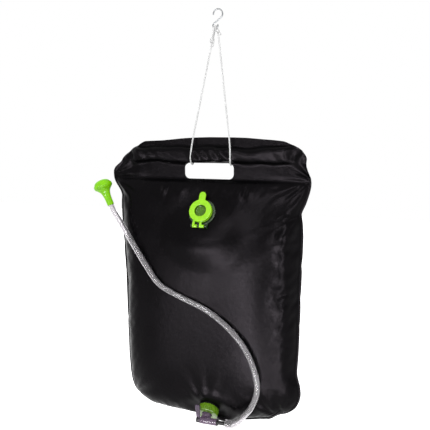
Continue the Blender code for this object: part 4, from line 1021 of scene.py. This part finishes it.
green_plastic = new_material("clear_green_plastic", (0.020, 0.060, 0.006), 0.24, transmission_weight=0.30,
                             ior=1.49)
vary_roughness(green_plastic, 120, 0.22, 0.36)
add_bump(green_plastic, 900, 0.00004)
neck = lathe(rounded_profile([
    (filler_neck_radius, filler_neck_height), (filler_neck_radius, filler_rim_top),
    (filler_rim_radius, filler_rim_top), (filler_rim_radius, clearance),
    (filler_neck_radius, clearance), (filler_neck_radius, -port_depth),
    (filler_bore_radius, -port_depth), (filler_bore_radius, filler_neck_height)], radius=0.0005))
add_parts("filler_rim_and_neck", [moved(neck, filler_matrix)], green_plastic, "bag", "dark_green", "filler_neck")

ring = mesh_of("snap_ring", [lathe(rounded_profile([
    (ring_radius, ring_top), (ring_radius, ring_bottom), (ring_bore, ring_bottom), (ring_bore, ring_top)],
    radius=0.0003))])
arm_root = -math.sqrt(ring_bore ** 2 - lug_spread ** 2) - arm_overlap
ring_changes = []
for side in (-1, 1):
    inner = side * lug_spread - lug_thickness / 2
    outer = inner + lug_thickness
    ring_changes += [
        join(block((inner, -hinge_distance, ring_bottom), (outer, arm_root, ring_top))),
        join(block((inner, -hinge_distance - lug_half_length, ring_bottom),
                   (outer, -hinge_distance + lug_half_length, hinge_height + lug_half_length)))]
hinge_bar = rod(hinge_bar_radius, -lug_spread, lug_spread, sides=32)
ring_changes.append(join(along_x(hinge_bar, hinge_height, -hinge_distance)))
ring_mesh = applied("snap_ring", ring, *ring_changes)
ring_mesh.transform(filler_matrix)
add_piece("snap_ring", ring_mesh, green_plastic, "bag", "dark_green", "tether_ring")

# Filler cap
# A lime cap pushes into the neck and over it. Its middle is a cup, a tongue on top is there to pull
# it open, and two tails below end in knuckles that clip on the ring's bar.
cap_radius = 0.0220
cap_top = 0.0130
cap_cup_radius = 0.0114
cap_floor_top = 0.0057
cap_plug_bottom = 0.0045
cap_skirt_bottom = 0.0044
cap_plug_radius = 0.0130
cap_plug_taper = 0.0005
cap_skirt_bore = 0.0186
tab_half_width = 0.0064
tab_tip = 0.0371
tab_root = 0.0198
tab_rib_width = 0.0022
tab_thickness = 0.0022
tab_dish_depth = 0.0008
tail_width = 0.0042
tail_thickness = 0.0020
tail_places = (-0.0128, 0.0010)
knuckle_radius = 0.0030
knuckle_length = 0.0090
cut_margin = 0.0020
face_margin = 0.0002
cup_mouth = 0.0012


def tongue(half, root, tip, steps=24):
    """Returns the outline of a tongue with a round tip, along +Y."""
    arc = [(half * math.cos(math.pi * step / steps), tip - half + half * math.sin(math.pi * step / steps))
           for step in range(steps + 1)]
    return [(half, root)] + arc + [(-half, root)]


def recolour(mesh, faces, material):
    """Gives the numbered faces of a mesh a second material."""
    mesh.materials.append(material)
    for index in faces:
        mesh.polygons[index].material_index = 1


lime_plastic = new_material("lime_plastic", (0.34, 0.76, 0.010), 0.34, subsurface_weight=0.12,
                            subsurface_radius=(0.002, 0.004, 0.0006), subsurface_scale=0.5, coat_weight=0.2,
                            coat_roughness=0.10, specular_ior_level=0.25)
vary_colour(lime_plastic, 70, (0.31, 0.72, 0.008), (0.36, 0.79, 0.013))
vary_roughness(lime_plastic, 140, 0.24, 0.36)
add_bump(lime_plastic, 900, 0.00004)
# A darker copy of the lime plastic for the inside of the cap's cup: painted shade in the recess.
cup_shade_lime = new_material("cup_shade_lime", (0.10, 0.24, 0.004), 0.22, transmission_weight=0.2, ior=1.49,
                         specular_ior_level=0.25)
vary_colour(cup_shade_lime, 90, (0.08, 0.20, 0.003), (0.11, 0.26, 0.006))
vary_roughness(cup_shade_lime, 140, 0.18, 0.30)
add_bump(cup_shade_lime, 900, 0.00004)
cap = mesh_of("filler_lid", [lathe(rounded_profile([
    (0, cap_floor_top), (cap_cup_radius, cap_floor_top), (cap_cup_radius, cap_top),
    (cap_radius, cap_top), (cap_radius, cap_skirt_bottom), (cap_skirt_bore, cap_skirt_bottom),
    (cap_skirt_bore, filler_neck_height + clearance), (cap_plug_radius, filler_neck_height + clearance),
    (cap_plug_radius - cap_plug_taper, cap_plug_bottom), (0, cap_plug_bottom)], radius=0.0010))])
tab_top = cap_top - clearance
tail_top = hinge_height + knuckle_radius
cap_changes = [join(plate(tongue(tab_half_width, tab_root, tab_tip), tab_top - tab_thickness, tab_top))]
for tail_x in tail_places:
    root = -math.sqrt(cap_radius ** 2 - (tail_x + tail_width / 2) ** 2) + tail_width / 2
    cap_changes += [
        join(block((tail_x, -hinge_distance, tail_top - tail_thickness), (tail_x + tail_width, root, tail_top))),
        join(along_x(rod(knuckle_radius, tail_x, tail_x + knuckle_length, sides=40), hinge_height, -hinge_distance))]
tab_dish = tongue(tab_half_width - tab_rib_width, cap_radius + tab_rib_width / 2, tab_tip - tab_rib_width)
knuckle_bore = rod(hinge_bar_radius + clearance, -lug_spread, lug_spread, sides=32)
cap_changes += [
    cut(plate(tab_dish, tab_top - tab_dish_depth, cap_top + cut_margin)),
    cut(along_x(knuckle_bore, hinge_height, -hinge_distance))]
cap_mesh = applied("filler_lid", cap, *cap_changes)
cup_low, cup_high = cap_plug_bottom + clearance, cap_top - cup_mouth
# The faces inside the cup, which take the darker lime of painted shade.
shaded_cup_faces = [face.index for face in cap_mesh.polygons
             if face.center.xy.length < cap_cup_radius + face_margin and cup_low < face.center.z < cup_high]
cap_mesh.transform(filler_matrix)
add_piece("filler_lid", cap_mesh, lime_plastic, "cap", "lime", "filler_cap")
# The cup's inside gets the painted shade.
recolour(cap_mesh, shaded_cup_faces, cup_shade_lime)

# Outlet and screw collar
# A black rimmed neck is welded into the film near its foot. The lime collar screws on to it and
# clamps the tap's flange against a rubber washer, and its ribs are for the fingers.
outlet_rim_radius = 0.0190
outlet_neck_radius = 0.0150
outlet_bore_radius = 0.0095
outlet_spigot_radius = 0.0115
outlet_rim_top = 0.0017
outlet_neck_height = 0.0105
collar_radius = 0.0205
collar_back = 0.0030
collar_front = 0.0176
collar_bore = 0.0154
collar_lip_back = 0.0148
collar_lip_bore = 0.0099
rib_count = 28
rib_depth = 0.0009
rib_fade = 0.0022
rib_band = 0.0020

black_plastic = new_material("black_plastic", (0.008, 0.008, 0.008), 0.4, specular_ior_level=0.2)
vary_roughness(black_plastic, 150, 0.34, 0.48)
add_bump(black_plastic, 1100, 0.00005)
port = lathe(rounded_profile([
    (outlet_neck_radius, outlet_neck_height), (outlet_neck_radius, outlet_rim_top),
    (outlet_rim_radius, outlet_rim_top), (outlet_rim_radius, clearance), (outlet_spigot_radius, clearance),
    (outlet_spigot_radius, -port_depth), (outlet_bore_radius, -port_depth),
    (outlet_bore_radius, outlet_neck_height)], radius=0.0004))
add_parts("outlet_rim_and_neck", [moved(port, outlet_matrix)], black_plastic, "bag", "black", "outlet_port")

black_rubber = new_material("black_rubber", (0.02, 0.02, 0.02), 0.7)
vary_roughness(black_rubber, 400, 0.62, 0.80)
add_bump(black_rubber, 1600, 0.00006)
finish_node("port_gasket", black_rubber, 0.0002)

collar_profile = rounded_profile([
    (collar_radius, collar_front), (collar_radius, collar_back), (collar_bore, collar_back),
    (collar_bore, collar_lip_back), (collar_lip_bore, collar_lip_back), (collar_lip_bore, collar_front)],
    radius=0.0014, steps=6)


def ribs(index, angles):
    """Returns the collar's radius share: rounded ribs down its side, and none on its face or bore."""
    radius, height = collar_profile[index]
    if radius < collar_radius - rib_band:
        return np.ones_like(angles)
    wave = np.clip(0.5 - 0.9 * np.cos(rib_count * angles), 0, 1)
    fade = ease((collar_front - height) / rib_fade)
    return 1 - rib_depth / collar_radius * (1 - wave) * fade


# A darker copy of the lime plastic for the collar: painted shade, where the collar sits under the bag's overhang
# against the black film.
shaded_collar_lime = new_material("shaded_collar_lime", (0.17, 0.36, 0.010), 0.26, transmission_weight=0.20, ior=1.49,
                           coat_weight=0.6)
vary_colour(shaded_collar_lime, 90, (0.15, 0.32, 0.009), (0.19, 0.40, 0.012))
vary_roughness(shaded_collar_lime, 140, 0.20, 0.34)
add_bump(shaded_collar_lime, 900, 0.00004)
collar = moved(lathe(collar_profile, rib_count * 10, ribs), outlet_matrix)
add_parts("ribbed_collar", [collar], shaded_collar_lime, "collar", "lime", "screw_collar")

# Tap body
# Moulded in smoky clear plastic: a short neck out of the collar, and across it the barrel that
# the spindle turns in.
tap_flange_back, tap_flange_front = 0.0125, 0.0147
tap_flange_radius = 0.0147
tap_neck_radius = 0.0096
tap_neck_top = 0.0266
tap_inlet_radius = 0.0060
barrel_radius = 0.0066
barrel_bore_radius = 0.0045
barrel_left, barrel_right = 0.0098, 0.0245

smoky_plastic = new_material("smoky_plastic", (0.26, 0.17, 0.28), 0.10, transmission_weight=0.62, ior=1.49)
vary_roughness(smoky_plastic, 160, 0.07, 0.20)
add_bump(smoky_plastic, 500, 0.00005)
tap = mesh_of("tap_barrel", [rod(tap_neck_radius, tap_flange_back, tap_neck_top)])
barrel = lathe(rounded_profile([
    (0, -barrel_left), (barrel_radius, -barrel_left), (barrel_radius, barrel_right), (0, barrel_right)],
    radius=0.0008))
barrel_bore = rod(barrel_bore_radius, -barrel_left - cut_margin, barrel_right + cut_margin, sides=48)
inlet_end = barrel_height - barrel_bore_radius / 2
tap_mesh = applied(
    "tap_barrel", tap,
    join(rod(tap_flange_radius, tap_flange_back, tap_flange_front)),
    join(along_x(barrel, barrel_height)),
    cut(along_x(barrel_bore, barrel_height)),
    cut(rod(tap_inlet_radius, tap_flange_back - cut_margin, inlet_end, sides=48)))
tap_mesh.transform(outlet_matrix)
add_piece("tap_barrel", tap_mesh, smoky_plastic, "bag", "smoky", "tap_body")

# Tap lever
# The spindle is one piece with its hub and the flat blade that is turned to open the tap. Two
# rubber O-rings seal it in the barrel.
spindle_radius = 0.0042
spindle_end = 0.0165
spindle_bore_radius = 0.0026
spindle_port_radius = 0.0021
groove_radius = 0.0032
groove_half_width = 0.0008
groove_places = (0.0125, -0.0074)
hub_radius = 0.0057
hub_face = -0.0101
hub_end = -0.0171
blade_reach = 0.0320
blade_lean = math.radians(26)
blade_root_width, blade_tip_width, blade_thickness = 0.0060, 0.0100, 0.0030
blade_corner_radius = 0.0018

lever_profile = [(0, spindle_end), (spindle_radius, spindle_end)]
for groove in groove_places:
    lever_profile += [(spindle_radius, groove + groove_half_width), (groove_radius, groove + groove_half_width),
                      (groove_radius, groove - groove_half_width), (spindle_radius, groove - groove_half_width)]
lever_profile += [(spindle_radius, hub_face), (hub_radius, hub_face), (hub_radius, hub_end), (0, hub_end)]
lever_matrix = outlet_matrix @ Matrix.Translation((0, 0, barrel_height)) @ Matrix.Rotation(-blade_lean, 4, "X")
hub_middle = (hub_face + hub_end) / 2
blade_corners = [(hub_middle - blade_root_width / 2, 0), (hub_middle + blade_root_width / 2, 0),
                 (hub_middle + blade_tip_width / 2, blade_reach), (hub_middle - blade_tip_width / 2, blade_reach)]
blade = plate(rounded_outline(blade_corners, blade_corner_radius), -blade_thickness / 2, blade_thickness / 2)
spindle = mesh_of("lever_and_spindle", [along_x(lathe(rounded_profile(lever_profile, radius=0.0003, steps=3)), 0)])
lever_mesh = applied(
    "lever_and_spindle", spindle, join(blade),
    cut(along_x(rod(spindle_bore_radius, -spindle_radius, spindle_end + cut_margin, sides=40), 0)),
    cut(moved(rod(spindle_port_radius, 0, spindle_radius + cut_margin, sides=32),
              Matrix.Rotation(math.radians(90) + blade_lean, 4, "X"))))
hub_faces = [face.index for face in lever_mesh.polygons
             if face.center.x < hub_face + clearance and face.center.yz.length < hub_radius + face_margin]
lever_mesh.transform(lever_matrix)
dark_smoky_plastic = new_material("dark_smoky_plastic", (0.15, 0.10, 0.17), 0.14, transmission_weight=0.5, ior=1.49,
                                  specular_ior_level=0.3)
vary_roughness(dark_smoky_plastic, 160, 0.10, 0.22)
add_bump(dark_smoky_plastic, 500, 0.00005)
add_piece("lever_and_spindle", lever_mesh, dark_smoky_plastic, "lever", "smoky", "tap_lever")
shaded_hub = new_material("shaded_hub", (0.020, 0.014, 0.022), 0.2, specular_ior_level=0.3)
vary_roughness(shaded_hub, 160, 0.15, 0.28)
add_bump(shaded_hub, 500, 0.00005)
recolour(lever_mesh, hub_faces, shaded_hub)
for name in ("left_o_ring", "right_o_ring"):
    finish_node(name, black_rubber, 0.0001)

# Hose barb
# A black barb plugs into the barrel's open end, and its ridges grip the hose.
barb_radius, ridge_radius, barb_bore_radius = 0.0038, 0.0046, 0.0026
ridge_tops, ridge_length = (0.0536, 0.0496, 0.0456), 0.0032
barb_bore_end, ridges_end = 0.0534, 0.0414
barb_flange_radius, barb_flange_front, barb_flange_back = 0.0066, 0.0264, 0.0248
barb_spigot_radius, barb_spigot_end = 0.0042, 0.0173

barb_profile = []
for ridge_top in ridge_tops:
    barb_profile += [(barb_radius, ridge_top), (ridge_radius, ridge_top - ridge_length)]
barb_profile += [
    (barb_radius, ridges_end), (barb_radius, barb_flange_front), (barb_flange_radius, barb_flange_front),
    (barb_flange_radius, barb_flange_back), (barb_spigot_radius, barb_flange_back),
    (barb_spigot_radius, barb_spigot_end), (barb_bore_radius, barb_spigot_end), (barb_bore_radius, barb_bore_end)]
barb = lathe(rounded_profile(barb_profile, radius=0.0003, steps=3), sides=64)
barb = moved(along_x(barb, barrel_height), outlet_matrix)
add_parts("ridged_barb", [barb], black_plastic, "bag", "black", "hose_barb")

# Spray head
# A lime mushroom with a domed rose pressed into its mouth over a rubber seal. The hose pushes
# into its neck.
head_length = 0.0447
head_radius = 0.0186
head_socket_radius = 0.0058
head_socket_depth = 0.0100
head_bore_radius = 0.0040
head_outline = ((0.925, 1.0), (0.978, 0.95), (1.0, 0.885), (0.93, 0.815), (0.73, 0.74), (0.53, 0.63), (0.42, 0.49),
                (0.365, 0.30), (0.360, 0.14), (0.352, 0.0))
rose_radius = 0.0165
rose_height = 0.0083
rose_wall = 0.0020
rose_seat = 0.0392
seat_ledge, seal_height, mouth_rim = 0.0015, 0.0014, 0.0008
throat_height_share, throat_width_share, mouth_height_share = 0.49, 0.6, 0.72
rose_hole_radius = 0.0008
rose_hole_rings = ((0.0, 1), (0.0045, 6), (0.0090, 12))
rose_dome = ((0.0, 1.0), (0.38, 0.93), (0.70, 0.72), (0.90, 0.40), (1.0, 0.0))

head_tip = bag_place + Vector(hose_route[-1])
head_along = (Vector(hose_route[-1]) - Vector(hose_route[-2])).normalized()
head_matrix = place_on_face(head_tip - head_along * (head_socket_depth - clearance), head_along)


def smooth_profile(shares, radius, low, height, pitch=0.0008):
    """Returns a smooth lathe profile through points given as shares of a radius and a height."""
    route = smooth_route([(radius * share, low + height * rise, 0) for share, rise in shares], pitch)
    return [(place.x, place.y) for place in route]


head_profile = smooth_profile(head_outline, head_radius, 0, head_length)
seat_radius = rose_radius - seat_ledge
head_profile += [
    (head_socket_radius, 0), (head_socket_radius, head_socket_depth), (head_bore_radius, head_socket_depth),
    (head_bore_radius, head_length * throat_height_share),
    (seat_radius * throat_width_share, head_length * mouth_height_share),
    (seat_radius, rose_seat - mouth_rim), (seat_radius, rose_seat),
    (rose_radius + clearance, rose_seat), (rose_radius + clearance, head_length)]
# A darker copy of the lime plastic for the head and its rose: painted shade that holds back the extra sky light the
# up-facing head gets.
shaded_head_lime = new_material("shaded_head_lime", (0.25, 0.69, 0.004), 0.36, subsurface_weight=0.08, subsurface_scale=0.4,
                         coat_weight=0.3, coat_roughness=0.05, specular_ior_level=0.06)
vary_colour(shaded_head_lime, 70, (0.23, 0.65, 0.003), (0.27, 0.72, 0.006))
vary_roughness(shaded_head_lime, 140, 0.30, 0.42)
add_bump(shaded_head_lime, 900, 0.00004)
head = add_parts("mushroom_head", [moved(lathe(head_profile), head_matrix)], shaded_head_lime, "bag", "lime", "head_body")
finish_node("rose_seal", black_rubber, 0.0001)

inner_radius = rose_radius - rose_wall
rose_bottom = rose_seat + seal_height
rose_profile = smooth_profile(rose_dome, rose_radius, head_length, rose_height)
rose_profile[0] = (0, rose_profile[0][1])
inner_dome = smooth_profile(rose_dome, inner_radius, head_length, rose_height - rose_wall)
inner_dome[0] = (0, inner_dome[0][1])
rose_profile += [(rose_radius, rose_bottom), (inner_radius, rose_bottom)] + inner_dome[::-1]
drills = []
for ring_distance, count in rose_hole_rings:
    for step in range(count):
        angle = math.tau * step / count
        place = Matrix.Translation((ring_distance * math.cos(angle), ring_distance * math.sin(angle), 0))
        drill = rod(rose_hole_radius, head_length, head_length + rose_height + cut_margin, sides=12)
        drills.append(moved(drill, place))
rose_mesh = applied("domed_rose", mesh_of("domed_rose", [lathe(rose_profile)]), cut(*drills))
rose_mesh.transform(head_matrix)
# The rose takes the same darker lime of painted shade.
rose = add_piece("domed_rose", rose_mesh, shaded_head_lime, "bag", "lime", "head_rose")

# Floor and light
# A plain white floor well below the hanging bag, a white sky and four soft lamps. The other lamps
# light nothing: they are only seen as reflections, as a studio's windows are.
floor_height = -2.0
floor_size = 24.0
sky_strength = 0.72
lamp_aim = Vector((0, 0, -0.45))


def white_to_the_eye(tree, strength):
    """Returns a strength that is 1 for what the camera, a gloss or a clear piece sees, and lower as light."""
    path = tree.nodes.new("ShaderNodeLightPath")
    either = tree.nodes.new("ShaderNodeMath")
    either.operation = "MAXIMUM"
    tree.links.new(path.outputs["Is Camera Ray"], either.inputs[0])
    tree.links.new(path.outputs["Is Glossy Ray"], either.inputs[1])
    seen = tree.nodes.new("ShaderNodeMath")
    seen.operation = "MAXIMUM"
    tree.links.new(either.outputs[0], seen.inputs[0])
    tree.links.new(path.outputs["Is Transmission Ray"], seen.inputs[1])
    level = tree.nodes.new("ShaderNodeMapRange")
    level.inputs["To Min"].default_value = strength
    level.inputs["To Max"].default_value = 1
    tree.links.new(seen.outputs[0], level.inputs["Value"])
    return level.outputs["Result"]


sky = bpy.data.worlds.new("white_sky")
bpy.context.scene.world = sky
sky.use_nodes = True
sky_background = sky.node_tree.nodes["Background"]
sky_background.inputs["Color"].default_value = (1, 1, 1, 1)
sky.node_tree.links.new(white_to_the_eye(sky.node_tree, sky_strength), sky_background.inputs["Strength"])

floor_mesh = bpy.data.meshes.new("floor")
half = floor_size / 2
floor_mesh.from_pydata([(-half, -half, floor_height), (half, -half, floor_height), (half, half, floor_height),
                        (-half, half, floor_height)], [], [(0, 1, 2, 3)])
floor = new_object("floor", floor_mesh)
pale_floor = new_material("pale_floor", (0.92, 0.92, 0.92), 0.9, emission_color=(1, 1, 1, 1))
pale_floor.node_tree.links.new(white_to_the_eye(pale_floor.node_tree, 0),
                               shader_of(pale_floor).inputs["Emission Strength"])
floor.data.materials.append(pale_floor)

for lamp_place, lamp_width, lamp_height, lamp_energy, gloss_only in (
        ((-0.62, -2.00, -0.86), 0.60, 0.34, 17, True), ((-0.04, -2.10, -0.84), 0.50, 0.44, 18, True),
        ((0.24, -2.10, -1.72), 0.60, 0.45, 40, True), ((0.10, -2.10, -1.25), 0.40, 0.45, 8.2, True),
        ((1.10, -1.65, -1.65), 0.45, 0.45, 19, True), ((1.35, -1.50, -0.75), 0.35, 0.80, 15, True),
        ((-0.35, -2.06, 0.16), 0.60, 0.24, 9, True), ((-0.80, -1.90, -1.50), 0.35, 0.40, 3, True),
        ((0.10, -1.95, 1.05), 0.80, 0.50, 20, False), ((1.70, -0.60, 0.30), 0.60, 0.60, 3, False),
        ((-1.50, -0.30, 0.60), 0.60, 0.60, 2, False), ((0.30, 1.70, 0.70), 0.80, 0.80, 8, False)):
    lamp_data = bpy.data.lights.new("soft_lamp", "AREA")
    lamp_data.shape = "RECTANGLE"
    lamp_data.size = lamp_width
    lamp_data.size_y = lamp_height
    lamp_data.energy = lamp_energy
    lamp = new_object("soft_lamp", lamp_data)
    lamp.location = lamp_place
    lamp.rotation_euler = (lamp_aim - lamp.location).to_track_quat("-Z", "Y").to_euler()
    lamp.visible_diffuse = not gloss_only
    lamp.visible_transmission = not gloss_only

bpy.context.view_layer.update()
